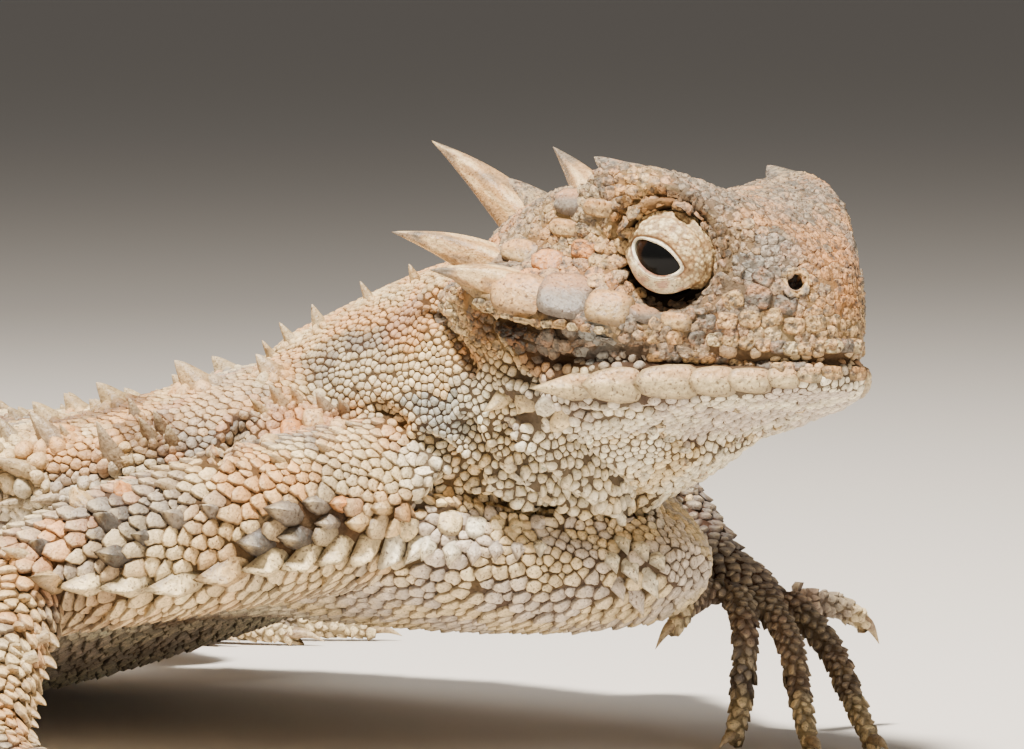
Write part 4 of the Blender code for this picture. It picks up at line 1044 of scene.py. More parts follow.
def scale_height(coat, a, b, size, inside):
    """How high each point of a scale stands: domed or sharp, tilted, keeled, and bent with the skin."""
    sharp = coat["sharp"][:, None]
    round_off = 3.2 + 3.8 * np.clip(-sharp, 0, 1)
    sharp = np.clip(sharp, 0, 1)
    dome = (1 - inside**round_off) ** 0.7 * (1 - sharp) + (1 - inside) * sharp * 1.7
    z = coat["height"][:, None] * size * 2 * dome + coat["tilt"][:, None] * (a + LIFT * size)
    ridge = np.exp(-(b / (0.24 * size)) ** 2) * np.clip(0.5 + 0.6 * a / size, 0, 1)
    z += coat["keel"][:, None] * size * ridge * dome**0.4
    return z - (coat["bend"][:, :1] * a**2 + coat["bend"][:, 1:] * b**2) / 2


def scale_colours(coat, points, shares, along, grain):
    """Colours of scales: painted shade at the roots, edges darker partly by their own colour and partly by
    painted shade, pale tips, warm tops and dark stipple, and middles a little lighter.
    """
    inside = np.minimum(shares, 1.0)
    begin = np.where(np.abs(coat["sharp"]) > 0.6, 0.72, 0.86)[:, None]
    # The edges darken partly by the scales' own darker rims and partly as painted shade
    edge = 0.75 * smooth(0, 1, (shares - begin) / (0.99 - begin)) + 0.2 * (shares > 1)
    tips = coat["tip_tint"][:, None] * smooth(0.35, 0.95, along) * (shares < 1)
    # Painted shade: the root of a tilted scale, tucked under its neighbour, is darkened
    painted_root_shade = np.minimum(2.2 * coat["tilt"][:, None], 0.5) * smooth(0.1, -0.8, along)
    colour = mix(coat["colour"][:, None], coat["edge"][:, None], painted_root_shade)
    colour = mix(colour, CREAM, tips)
    size = coat["reach"].mean(1)[:, None]
    above = ((points - coat["root"][:, None]) @ np.array((0, 0, 1.0))) / size
    colour = mix(colour, ORANGE, coat["top_tint"][:, None] * smooth(-0.1, 0.45, above))
    colour = mix(colour, SLATE * 0.8, coat["rough"][:, None] * (0.75 * smooth(0.08, 0.22, -grain)))
    colour = mix(colour, coat["edge"][:, None], edge)
    # Each scale is painted up to a tenth lighter towards its middle
    return colour * (1 + 0.1 * (1 - inside))[None, :, None]


def scale_grid(coat, rings):
    """Points, colours and unwrap of scales: rings of each outline round a centre."""
    count, sides = coat["reach"].shape
    shares = np.concatenate([np.zeros(1), np.repeat(rings, sides)])
    theta = np.concatenate([np.zeros(1), np.tile(round_angles(sides), len(rings))])
    reach = np.concatenate([np.zeros((count, 1)), np.tile(coat["reach"], (1, len(rings)))], axis=1)
    ahead = np.maximum(np.cos(theta), 0)
    pointed = (1 + 0.5 * ahead**3) / (1 + 0.3 * ahead * (1 - ahead) * 2)
    reach = reach * (1 + coat["tip"][:, None] * (pointed - 1))
    a, b = reach * shares * np.cos(theta), reach * shares * np.sin(theta)
    size = coat["reach"].mean(1)[:, None]
    inside = np.minimum(shares, 1.0)
    a = a + 0.4 * size * np.clip(coat["sharp"][:, None], 0, 1) * (1 - inside)
    z = scale_height(coat, a, b, size, inside)
    z = np.where(shares > 1, z - SUNK * (1 - 0.6 * coat["rough"][:, None]), z)
    across = np.cross(coat["normal"], coat["lie"])
    points = (coat["root"][:, None] + a[..., None] * coat["lie"][:, None] + b[..., None] * across[:, None]
              + z[..., None] * coat["normal"][:, None])
    grain = np.zeros(z.shape)
    if coat["rough"].any():
        grain = field(points.reshape(-1, 3), PLATE_GRAIN, 3).reshape(z.shape)
        relief = grain * PLATE_RELIEF * coat["rough"][:, None] * (shares < 1)
        points = points + relief[..., None] * coat["normal"][:, None]
    uv = coat["uv"][:, None] + np.stack([b, a], -1) / size[..., None] * SCALE_PATCH
    return points, scale_colours(coat, points, shares, a / size, grain), uv


def scale_faces(sides, ring_count):
    """Triangles of one scale: a fan round its centre, then strips between its rings."""
    j = np.arange(sides)
    k = (j + 1) % sides
    faces = [np.stack([0 * j, 1 + j, 1 + k], 1)]
    for r in range(ring_count - 1):
        low, high = 1 + r * sides, 1 + (r + 1) * sides
        faces += [np.stack([low + j, high + j, high + k], 1), np.stack([low + j, high + k, low + k], 1)]
    return np.concatenate(faces)


def make_scale_pieces(name, coat, rings, finish):
    """Pieces of at most a set number of triangles each."""
    template = scale_faces(coat["reach"].shape[1], len(rings))
    most, total = MOST_TRIANGLES // len(template), len(coat["root"])
    for number, start in enumerate(range(0, total, most)):
        points, colours, uvs = scale_grid(pick(coat, slice(start, start + most)), rings)
        count, each = points.shape[:2]
        faces = (template[None] + (np.arange(count) * each)[:, None, None]).reshape(-1, 3)
        uvs = uvs.reshape(-1, 2)[faces.ravel()]
        title = f"{name}_{number + 1}" if total > most else name
        piece = fast_mesh(title, points.reshape(-1, 3), faces, finish, colours.reshape(-1, 3), uvs)


def pick(coat, where):
    """Some of the scales of a coat."""
    return {key: value[where] for key, value in coat.items()}


# Plates of the near side: pixel of the middle, half length and half height in millimetres as they
# show, slant clockwise from the picture's right, height, pointedness and colour
HEAD_PLATES = (
    ((572, 387), 1.15, 0.52, 180, 0.36, 0.6, CREAM), ((616, 385), 1.2, 0.7, 180, 0.4, 0.3, CREAM),
    ((668, 382), 1.22, 0.66, 180, 0.42, 0.2, CREAM), ((713, 381), 0.92, 0.58, 180, 0.4, 0.2, CREAM),
    ((750, 380), 0.88, 0.48, 182, 0.36, 0.15, CREAM), ((784, 378), 0.66, 0.4, 184, 0.3, 0.1, CREAM),
    ((810, 375), 0.5, 0.32, 184, 0.26, 0.1, CREAM), ((835, 373), 0.42, 0.28, 180, 0.2, 0.0, TAN),
    ((534, 195), 0.8, 0.5, 200, 0.3, 0.4, GREY), ((571, 200), 0.46, 0.4, 185, 0.3, 0.1, GREY),
    ((497, 207), 0.55, 0.4, 190, 0.3, 0.3, TAN), ((600, 208), 0.6, 0.36, 190, 0.3, 0.1, TAN),
    ((484, 286), 0.95, 0.5, 188, 0.34, 0.6, TAN), ((520, 292), 1.05, 0.78, 188, 0.34, 0.12, PEACH),
    ((566, 294), 1.02, 0.8, 183, 0.34, 0.08, GREY), ((608, 306), 0.86, 0.62, 186, 0.34, 0.08, TAN),
    ((645, 315), 0.72, 0.44, 188, 0.28, 0.05, GREY), ((674, 321), 0.52, 0.34, 186, 0.24, 0.0, TAN),
    ((597, 282), 0.34, 0.3, 180, 0.28, 0.1, PEACH), ((548, 262), 0.55, 0.42, 190, 0.34, 0.2, ORANGE),
    ((520, 252), 0.6, 0.42, 190, 0.34, 0.2, TAN), ((585, 250), 0.5, 0.4, 190, 0.34, 0.1, ORANGE),
    ((565, 228), 0.55, 0.36, 190, 0.32, 0.1, TAN), ((600, 262), 0.4, 0.34, 185, 0.3, 0.1, TAN),
    ((758, 296), 0.52, 0.44, 20, 0.24, 0.0, GREY), ((750, 319), 0.44, 0.36, 10, 0.2, 0.0, TAN),
    ((771, 318), 0.47, 0.36, -15, 0.2, 0.0, TAN), ((763, 277), 0.42, 0.34, 30, 0.22, 0.0, GREY),
    ((785, 305), 0.46, 0.36, 15, 0.2, 0.0, GREY), ((794, 326), 0.44, 0.34, 5, 0.2, 0.0, TAN),
    ((733, 300), 0.42, 0.36, -20, 0.2, 0.0, TAN), ((727, 321), 0.4, 0.34, 10, 0.2, 0.0, PEACH),
    ((815, 324), 0.44, 0.34, -8, 0.18, 0.0, TAN), ((706, 321), 0.38, 0.3, 12, 0.18, 0.0, GREY),
)
BODY_PLATES = (
    ((110, 523), 0.62, 0.42, 200, 0.55, 0.5, SLATE), ((115, 556), 0.75, 0.52, 190, 0.6, 0.5, SLATE),
    ((176, 519), 0.6, 0.4, 200, 0.5, 0.5, GREY), ((144, 538), 0.5, 0.35, 190, 0.45, 0.5, SLATE),
    ((212, 511), 0.5, 0.32, 200, 0.4, 0.5, GREY), ((82, 502), 0.5, 0.36, 200, 0.4, 0.5, TAN),
    ((125, 492), 0.42, 0.32, 200, 0.36, 0.4, ORANGE), ((286, 513), 0.85, 0.55, 190, 0.55, 0.5, GREY),
    ((258, 543), 0.8, 0.58, 185, 0.6, 0.5, SLATE), ((298, 538), 0.8, 0.5, 185, 0.5, 0.4, SLATE),
    ((318, 505), 0.6, 0.4, 190, 0.4, 0.4, GREY), ((42, 547), 0.46, 0.36, 190, 0.4, 0.5, SLATE),
    ((48, 583), 1.0, 0.45, 180, 0.45, 0.7, TAN), ((88, 584), 1.1, 0.5, 180, 0.5, 0.7, CREAM),
    ((131, 584), 1.15, 0.52, 180, 0.5, 0.7, CREAM), ((179, 583), 1.25, 0.55, 180, 0.55, 0.7, CREAM),
    ((227, 571), 1.25, 0.6, 176, 0.6, 0.7, TAN), ((269, 562), 1.05, 0.58, 174, 0.55, 0.7, CREAM),
    ((304, 557), 1.0, 0.55, 166, 0.5, 0.7, CREAM), ((336, 550), 0.95, 0.52, 158, 0.45, 0.7, CREAM),
    ((365, 548), 0.9, 0.5, 148, 0.42, 0.7, CREAM), ((392, 548), 0.85, 0.5, 140, 0.4, 0.6, WHITE),
    ((418, 548), 0.75, 0.46, 130, 0.4, 0.6, WHITE),
    ((622, 543), 0.5, 0.3, 70, 0.2, 0.8, WHITE), ((640, 549), 0.55, 0.34, 66, 0.22, 0.8, WHITE),
    ((657, 560), 0.5, 0.34, 62, 0.22, 0.8, WHITE), ((630, 568), 0.6, 0.36, 68, 0.22, 0.8, WHITE),
    ((649, 581), 0.6, 0.38, 64, 0.22, 0.8, WHITE), ((612, 560), 0.5, 0.32, 74, 0.2, 0.8, WHITE),
    ((636, 597), 0.55, 0.34, 70, 0.2, 0.8, LILAC), ((618, 586), 0.5, 0.32, 74, 0.2, 0.8, LILAC),
    ((329, 523), 0.55, 0.36, 180, 0.36, 0.4, GREY), ((360, 522), 0.6, 0.42, 180, 0.36, 0.4, TAN),
    ((342, 504), 0.5, 0.36, 180, 0.34, 0.4, ORANGE), ((383, 508), 0.5, 0.36, 180, 0.34, 0.4, TAN),
    ((314, 421), 0.46, 0.42, 180, 0.4, 0.1, PEACH), ((291, 431), 0.44, 0.4, 180, 0.4, 0.1, ORANGE),
    ((340, 426), 0.38, 0.34, 180, 0.34, 0.1, PEACH), ((270, 441), 0.38, 0.34, 180, 0.34, 0.1, TAN),
    ((502, 399), 0.6, 0.36, 150, 0.4, 0.6, CREAM), ((527, 402), 0.46, 0.38, 150, 0.36, 0.4, CREAM),
    ((546, 407), 0.36, 0.32, 150, 0.3, 0.2, WHITE), ((562, 419), 0.46, 0.4, 130, 0.34, 0.2, CREAM),
    ((450, 522), 0.56, 0.5, 100, 0.34, 0.15, CREAM), ((476, 527), 0.46, 0.42, 100, 0.32, 0.15, WHITE),
    ((497, 524), 0.34, 0.32, 100, 0.28, 0.1, CREAM), ((516, 527), 0.34, 0.32, 100, 0.28, 0.1, CREAM),
    ((538, 523), 0.34, 0.32, 100, 0.28, 0.1, LILAC), ((408, 530), 0.4, 0.36, 110, 0.3, 0.2, CREAM),
    ((427, 546), 0.56, 0.44, 110, 0.4, 0.5, WHITE), ((452, 551), 0.56, 0.4, 104, 0.4, 0.6, WHITE),
    ((474, 552), 0.48, 0.36, 98, 0.36, 0.6, LILAC), ((496, 550), 0.44, 0.34, 96, 0.34, 0.6, LILAC),
    ((518, 549), 0.4, 0.32, 94, 0.3, 0.6, LILAC), ((540, 547), 0.38, 0.3, 90, 0.3, 0.6, WHITE),
)
# Rows of small plates: pixels along the row, count, first and last half length, half height, height,
# colours
PLATE_ROWS = (
    (((652, 337), (700, 338), (736, 342), (771, 346), (800, 349), (835, 345), (858, 347)),
     14, 0.36, 0.32, 0.28, 0.2, (TAN, PEACH, GREY, CREAM, TAN)),
    (((655, 357), (700, 358), (736, 362), (771, 366), (800, 367)),
     11, 0.32, 0.3, 0.2, 0.16, (PEACH, GREY, TAN)),
    (((480, 304), (500, 312), (525, 320), (560, 325), (600, 330)),
     13, 0.24, 0.24, 0.16, 0.16, (CREAM, TAN)),
    (((690, 500), (697, 480), (718, 452), (740, 438), (772, 428), (800, 409)),
     13, 0.2, 0.16, 0.14, 0.3, (CREAM, WHITE)),
)
OUTLINE_POWER = 4.5
PLATE_SIDES = 28
# A plate more pointed than this has a sharp keel, or a diamond's outline
POINTED = 0.3
# Relief of the plates and of the skull's scales: height in millimetres and waves per millimetre
PLATE_RELIEF, PLATE_GRAIN = 0.16, 4.2


def plate_table():
    """Every plate: pixel, half sizes, slant, height, pointedness, colour and whether the head carries it."""
    table = [(*plate, True) for plate in HEAD_PLATES] + [(*plate, False) for plate in BODY_PLATES]
    for pixels, count, first, last, high, rise, colours in PLATE_ROWS:
        line = np.array(pixels, float)
        at = np.linspace(0, len(line) - 1, count)
        for k, pixel in enumerate(spline(np.arange(len(line)), line, at)):
            half = first + (last - first) * k / (count - 1)
            table.append((tuple(pixel), half, high, 180, rise, 0.15, colours[k % len(colours)], True))
    return table


def image_vectors(normal, half_long, half_high, slant):
    """Two vectors of a tangent plane that show in the picture with the given lengths and slant."""
    made = []
    facing = min(LOOK @ normal, -0.5)
    for length, angle in ((half_long, slant), (half_high, slant + 90)):
        flat = RIGHT * math.cos(math.radians(angle)) - UP * math.sin(math.radians(angle))
        vector = flat - LOOK * (flat @ normal) / facing
        vector -= (vector @ normal) * normal
        made.append(unit(vector) * length * min(np.linalg.norm(vector), 1.5))
    return made


def twin_plate(surface, plate):
    """A head plate's twin on the far side, or None where the skin isn't near its place."""
    point, normal, long, high, *rest = plate
    far = head_to_world(mirrored(world_to_head(point), -1))
    found = np.array(surface.find_nearest(Vector(far))[0])
    if (found - far) @ (found - far) >= 0.5:
        return None
    normal, long, high = (mirrored(v @ HEAD_TURN, -1) @ HEAD_TURN.T for v in (normal, long, high))
    return (found, normal, long, high, *rest)


def plates_on(surface):
    """Plates of the picture laid on the skin, those of the head on both sides."""
    placed = []
    for pixel, half_long, half_high, slant, *rest, on_head in plate_table():
        hit = cast_pixels(surface, [pixel])[0]
        if hit is None:
            continue
        vectors = image_vectors(hit[1], half_long, half_high, slant)
        placed.append((*hit, *vectors, *rest, on_head))
        twin = twin_plate(surface, placed[-1]) if on_head else None
        if twin:
            placed.append(twin)
    return placed


def plate_outline(a, b, tip, keeled):
    """How far a plate reaches at each angle: a rounded box, drawn in to a diamond where it is pointed."""
    angles = round_angles(PLATE_SIDES)
    reach = (np.abs(np.cos(angles) / a) ** OUTLINE_POWER + np.abs(np.sin(angles) / b) ** OUTLINE_POWER)
    reach = reach ** (-1 / OUTLINE_POWER)
    diamond = 1 / (np.abs(np.cos(angles)) / (1.15 * a) + np.abs(np.sin(angles)) / b)
    pointed = np.where(np.cos(angles) > 0, min(1.8 * tip, 1.0), 0.6 * keeled)
    return reach + pointed * (diamond - reach)


def skin_bend(surface, point, normal, way, length):
    """How strongly the skin bends away under a plate, from both ends of one of its half axes."""
    ends = [np.array(surface.find_nearest(Vector(point + s * way * length))[0]) for s in (1, -1)]
    drop = np.mean([(end - point) @ normal for end in ends])
    return np.clip(-2 * drop / length**2, -0.2, 0.6)


def plate_row(surface, plate):
    """One plate as a scale of its own outline."""
    point, normal, long, high, rise, tip, colour, on_head = plate
    a, b = np.linalg.norm(long), np.linalg.norm(high)
    lie = unit(long - (long @ normal) * normal)
    keeled = tip > POINTED and not on_head
    reach = plate_outline(a, b, tip, keeled)
    half_axes = ((lie, a), (np.cross(normal, lie), b))
    row = {"root": point, "normal": normal, "lie": lie, "reach": reach, "colour": colour,
           "bend": [skin_bend(surface, point, normal, *axis) for axis in half_axes],
           "tilt": 0.1 + 0.3 * tip, "keel": 0.55 * tip, "tip": 0.0, "tip_tint": 0.35 * (tip > POINTED)}
    if on_head:
        return {**row, "height": rise * 0.45 / (2 * reach.mean()), "rough": 0.3 if a > 0.6 else 0.5,
                "top_tint": 0.45 if a > 0.5 else 0.0, "sharp": -1.0}
    return {**row, "height": rise * 0.6 / (2 * reach.mean()), "rough": 0.35, "top_tint": 0.0,
            "sharp": 0.8 if keeled else 0.0}


def plate_coat(body, placed, dice):
    """The placed plates as one coat."""
    rows = [plate_row(body.surface, plate) for plate in placed]
    coat = {key: np.array([row[key] for row in rows], float) for key in rows[0]}
    coat["uv"] = np.array([body.uv_at(root) for root in coat["root"]])
    # The plates' edge colour is partly their own darker rim and partly painted shade
    coat["edge"] = mix(coat["colour"] * 0.5, SEAM, 0.4)
    coat["colour"] = coat["colour"] * dice.normal(1.0, 0.07, (len(rows), 1))
    coat["colour"] *= np.where(coat["sharp"] < 0, 0.8, 1.0)[:, None]
    return coat


def clear_of_plates(points, placed):
    """Whether each point lies off every placed plate."""
    clear = np.ones(len(points), bool)
    for point, _, long, high, _, tip, *_ in placed:
        power = OUTLINE_POWER if tip < 0.45 else 1.8
        a, b = np.linalg.norm(long), np.linalg.norm(high)
        away = points - point
        near = np.abs(away @ long) / a / (a + 0.04) < 1.1
        outline = (np.abs(away @ long / a / (a + 0.04)) ** power
                   + np.abs(away @ high / b / (b + 0.04)) ** power)
        clear &= ~(near & (outline < 1) & (np.linalg.norm(away, axis=1) < 1.6 * a))
    return clear


# Spines, horns and claws

SPINE_TIP, HORN_ROOT, HORN_TIP = tint(178, 156, 122), tint(198, 150, 92), tint(116, 102, 84)
CLAW_ROOT, CLAW_TIP = tint(120, 92, 62), tint(206, 180, 140)


def tapered(root, tip, radius, sides=14, levels=12, flat=1.0, bow=(0, 0, 0), ridge=0.0, sink=0.5,
            swell=0.25):
    """Rings of a tapering, bowed and ridged point, with the share of its length at each ring."""
    root, tip, bow = (np.asarray(v, float) for v in (root, tip, bow))
    length = np.linalg.norm(tip - root)
    axis = (tip - root) / length
    hint = np.array((0, 0, 1.0)) if abs(axis[2]) < 0.9 else np.array((1.0, 0, 0))
    side = unit(np.cross(axis, hint))
    up = np.cross(side, axis)
    angles = round_angles(sides)
    shares = np.concatenate([[-sink / length], np.linspace(0, 0.97, levels - 1), [1.0]])
    rings = []
    for share in shares:
        along = max(share, 0.0)
        width = radius * (1 - along) ** 0.9 * (1 + swell * math.sin(math.pi * along)) + 0.012
        wave = 1 + ridge * np.cos(angles * 5)
        ring = np.outer(np.cos(angles) * wave, side) + np.outer(np.sin(angles) * wave, up) * flat
        rings.append(root + axis * length * share + bow * math.sin(math.pi * along) + width * ring)
    return np.array(rings), np.clip(shares, 0, 1)


def point_piece(name, stacks, finish, root_colours, tip_colour, uv_at, streaks=0.5):
    """One piece of several tapering points."""
    points, faces, colours, uvs, start = [], [], [], [], 0
    for (rings, shares), root_colour in zip(stacks, root_colours):
        count, sides = rings.shape[:2]
        flat = rings.reshape(-1, 3)
        points.append(flat)
        faces.append(wall_faces(count, sides) + start)
        axis = unit(rings[-1].mean(0) - rings[0].mean(0))
        flat = flat - 0.8 * (flat @ axis)[:, None] * axis
        streak = field(flat, 2.2, 3).reshape(count, sides)
        shade = mix(root_colour, tip_colour, np.clip(shares[:, None] ** 1.8 + 0.9 * streak, 0, 1))
        shade = mix(shade, CREAM, streaks * smooth(0.05, 0.25, -streak))
        colours.append(shade.reshape(-1, 3))
        grid = np.stack(np.meshgrid(shares, np.arange(sides) / sides, indexing="ij"), -1)
        uvs.append(uv_at(rings[0].mean(0)) + grid.reshape(-1, 2) * POINT_PATCH)
        start += count * sides
    faces = np.concatenate(faces)
    piece = fast_mesh(name, np.concatenate(points), faces, finish, np.concatenate(colours),
                      np.concatenate(uvs)[faces.ravel()])
    return piece


# Rows of back spines: share of the way from mid back to fringe, first and last station, count, length
BACK_ROWS = (
    (0.10, -21.0, 14.0, 9, 0.65), (0.21, -23.0, 15.5, 13, 1.1), (0.35, -21.0, 13.0, 12, 0.7),
    (0.48, -21.0, 15.0, 13, 1.3), (0.62, -20.0, 11.0, 13, 0.75), (0.76, -19.0, 11.0, 12, 1.1),
    (0.88, -19.0, 9.0, 14, 0.75),
)
FRINGE_ROWS = ((-24.0, 14.5, 30, 1.75, 0.97), (-22.0, 13.0, 27, 1.0, 1.08))
BACK_LEAN, FRINGE_LEAN, LIMB_LEAN = (-0.6, 0.1, 0.0), (-0.75, 0.0, 0.1), 1.0
# Spines of the near shoulder and neck: pixels of root and tip, root radius in millimetres, colour
NEAR_SPINES = (
    ((52, 441), (29, 411), 0.75, GREY), ((12, 441), (-4, 416), 0.6, GREY),
    ((112, 455), (97, 421), 0.55, GREY), ((68, 440), (60, 424), 0.3, TAN),
    ((136, 416), (129, 398), 0.34, GREY), ((150, 437), (139, 417), 0.42, BROWN),
    ((163, 432), (154, 410), 0.4, BROWN), ((172, 443), (168, 425), 0.36, BROWN),
    ((64, 414), (61, 403), 0.25, TAN), ((102, 408), (95, 396), 0.28, TAN),
    ((281, 404), (269, 384), 0.42, PEACH), ((298, 402), (291, 386), 0.32, PEACH),
    ((325, 409), (316, 392), 0.42, GREY), ((262, 412), (250, 398), 0.3, TAN),
    ((345, 410), (340, 398), 0.28, GREY), ((20, 556), (2, 549), 0.4, CREAM),
    ((36, 640), (14, 648), 0.3, CREAM), ((24, 660), (2, 668), 0.3, CREAM),
    ((272, 356), (262, 340), 0.28, TAN), ((292, 342), (279, 322), 0.38, CREAM),
    ((321, 326), (312, 304), 0.4, CREAM), ((370, 300), (360, 281), 0.32, TAN),
    ((416, 280), (409, 264), 0.28, TAN),
)
NEAR_SPINE_RISE = 0.55
# Rows round the limbs and the tail: angle, count, length, first and last share
LIMB_ROWS = ((0.0, 8, 1.0, 0.28, 0.9), (1.0, 7, 0.75, 0.25, 0.9), (-0.9, 7, 0.7, 0.3, 0.9),
             (1.9, 6, 0.6, 0.3, 0.9))
TAIL_ROWS = ((0.1, 20, 1.1), (math.pi - 0.1, 20, 1.1), (0.75, 18, 0.7), (math.pi - 0.75, 18, 0.7),
             (1.57, 14, 0.5))
# Points of the head: root, way to the tip (left side, the head's own axes), radius, flatness, colour
HEAD_POINTS = (
    ((8.8, 4.75, 6.8), (-1.5, 0.4, 1.05), 0.92, 0.9, GREY),
    ((2.6, 1.5, 5.9), (-1.2, 0.2, 0.9), 0.6, 0.7, GREY),
    ((2.8, 1.9, 4.9), (-2.7, 0.8, 2.6), 1.6, 0.9, TAN),
    ((4.2, 4.8, 3.3), (-2.6, 1.6, 1.2), 1.35, 0.85, ORANGE),
    ((3.7, 2.9, 5.6), (-1.0, 0.4, 0.8), 0.5, 0.7, TAN),
    ((6.6, 7.7, 2.0), (-0.8, 0.75, -0.05), 0.6, 0.6, ORANGE),
)
ROOT_MARGIN, TIP_MARGIN = 0.7, 0.3
# How far back spines keep from the near spines, and limb spines from the plates
NEAR_GAP, PLATE_GAP = 1.6, 1.3
# Spines are painted this much darker than the skin round them, most at their roots: partly their own tone
# and partly painted shade at their bases
SPINE_SHADE = 0.6
Spine = namedtuple("Spine", "root tip radius flat normal colour share", defaults=(TAN, 0.4))
SIDES = ((1, "left"), (-1, "right"))
HORN_BOW = (0.1, 0.1, 0.25)
PETALS, PETAL_SIDES = 7, 12
PETAL_SHAPE = {"height": 0.22, "tilt": 0.25, "keel": 0.12, "tip": 0.5, "tip_tint": 0.25, "rough": 0.0,
               "top_tint": 0.0, "sharp": 0.0}


def clear_of(tubes, point, margin):
    """Whether a point lies outside each tube by a margin."""
    for tube in tubes:
        line, forward, sideways, upward = tube_frames(finer(tube, 16))
        away = point - line[:, :3]
        along = np.abs((away * forward).sum(axis=1))
        across = (away * sideways).sum(axis=1) / (line[:, 3] + margin)
        above = (away * upward).sum(axis=1) / (line[:, 4] + margin)
        if ((along < 1 + margin) & (np.hypot(across, above) < 1)).any():
            return False
    return True


def trunk_place(x, share, side):
    """Point and normal of the trunk's surface."""
    point = trunk_surface(x, share, side, -COAT)
    along = trunk_surface(x + 0.5, share, side) - trunk_surface(x - 0.5, share, side)
    around = trunk_surface(x, share + 0.03, side) - trunk_surface(x, share - 0.03, side)
    return point.reshape(3), unit(np.cross(along, around).reshape(3) * side)


def free_of(tubes, root, tip):
    """Whether a spine stands clear of other tubes."""
    return clear_of(tubes, root, ROOT_MARGIN) and clear_of(tubes, tip, TIP_MARGIN)


def back_spines(rng):
    """Spines of the back and the fringe."""
    tubes = (NECK, TAIL, *(limb[0] for limb in (*ARM.values(), *LEG.values())))
    spots = [(x + rng.uniform(-1, 1), share, side, length * rng.uniform(0.7, 1.15), BACK_LEAN, 0.36, 1.0)
             for side in (1, -1) for share, first, last, count, length in BACK_ROWS
             for x in np.linspace(first, last, count)]
    spots += [(x, share, side, length * rng.uniform(0.8, 1.1), FRINGE_LEAN, 0.34, 0.6)
              for side in (1, -1) for first, last, count, length, share in FRINGE_ROWS
              for x in np.linspace(first, last, count)]
    made = []
    for x, share, side, long, lean, stout, flat in spots:
        root, normal = trunk_place(x, share, side)
        tip = root + unit(normal + mirrored(lean, side)) * long
        if free_of(tubes, root, tip):
            made.append(Spine(root, tip, stout * 1.3 * long + 0.1, flat, normal))
    return made


def near_spines(surface):
    """Spines of the near shoulder and neck, standing where the photograph shows them."""
    made = []
    hits = cast_pixels(surface, [spine[0] for spine in NEAR_SPINES])
    for (root_pixel, tip_pixel, radius, colour), hit in zip(NEAR_SPINES, hits):
        if hit is None:
            continue
        root, normal = hit
        rise = (tip_pixel[0] - root_pixel[0]) * RIGHT - (tip_pixel[1] - root_pixel[1]) * UP
        lean = normal - (normal @ RIGHT) * RIGHT - (normal @ UP) * UP
        tip = root + rise / PIXELS_PER_MM + lean * NEAR_SPINE_RISE
        made.append(Spine(root, tip, radius, 0.8, normal, colour, 0.6))
    return made


def row_spines(line, rows, rng, turn_by=0.0, others=()):
    """Spines in rows along a tube, leaning towards its far end."""
    line, forward, sideways, upward = tube_frames(finer(line, 60))
    made = []
    for angle, count, length, *ends in rows:
        across, above = math.cos(angle + turn_by), math.sin(angle + turn_by)
        for share in np.linspace(*(ends or (0.04, 0.93)), count):
            k = int(round((share + rng.uniform(-0.02, 0.02)) * (len(line) - 1)))
            out = across * sideways[k] + above * upward[k]
            root = line[k, :3] + out * (math.hypot(across * line[k, 3], above * line[k, 4]) - COAT)
            long = length * rng.uniform(0.75, 1.15) * (1 - 0.35 * share)
            tip = root + unit(out + LIMB_LEAN * forward[k]) * long
            if tip[2] > 0.1 and free_of(others, root, tip):
                made.append(Spine(root, tip, 0.34 * long + 0.06, 0.8, out))
    return made


def limb_spines(placed, rng):
    """Spines round the limbs, clear of the body plates."""
    made = []
    for limbs in (ARM, LEG):
        for side, turned, flip in (("left", 0.0, 1), ("right", math.pi, -1)):
            upper, lower = limbs[side]
            rows = [(flip * angle, *rest) for angle, *rest in LIMB_ROWS]
            made += row_spines(upper, rows, rng, turned, (lower, NECK))
            made += row_spines(lower, rows, rng, turned, (upper,))
    plated = np.array([plate[0] for plate in placed])
    return [s for s in made if np.linalg.norm(plated - s.root, axis=1).min() > PLATE_GAP]


def head_spines():
    """Points of the head on both sides."""
    made = []
    for root, way, radius, flat, colour in HEAD_POINTS:
        for side in (1, -1):
            start, lie = mirrored(root, side), mirrored(way, side)
            ends = head_to_world(start), head_to_world(start + lie)
            made.append(Spine(*ends, radius, flat, unit(lie @ HEAD_TURN.T), colour, 0.6))
    return made


def spine_groups(surface, placed, rng):
    """All spines, by the piece that they belong to."""
    near = near_spines(surface)
    roots = np.array([spine.root for spine in near])
    back = [s for s in back_spines(rng) if np.linalg.norm(roots - s.root, axis=1).min() > NEAR_GAP]
    return {"trunk": back + near, "limbs": limb_spines(placed, rng),
            "tail": row_spines(TAIL, TAIL_ROWS, rng), "head": head_spines()}


def make_spines(body, groups, paints):
    """A piece for each group of spines."""
    for title, group in groups.items():
        roots, normals = np.array([s.root for s in group]), np.array([s.normal for s in group])
        shades = body.colours(roots, normals, body.guide.read(roots))
        colours = [mix(shade, s.colour, s.share) * SPINE_SHADE for shade, s in zip(shades, group)]
        bows = [s.normal * 0.08 * np.linalg.norm(s.tip - s.root) for s in group]
        stacks = [tapered(s.root, s.tip, s.radius, 12, 9, s.flat, bow, 0.1, swell=-0.12)
                  for s, bow in zip(group, bows)]
        paint, tip = (paints["skull"], GREY) if title == "head" else (paints["horn"], SPINE_TIP)
        point_piece(f"spines_{title}", stacks, paint, colours, tip, body.uv_at, 0.15)


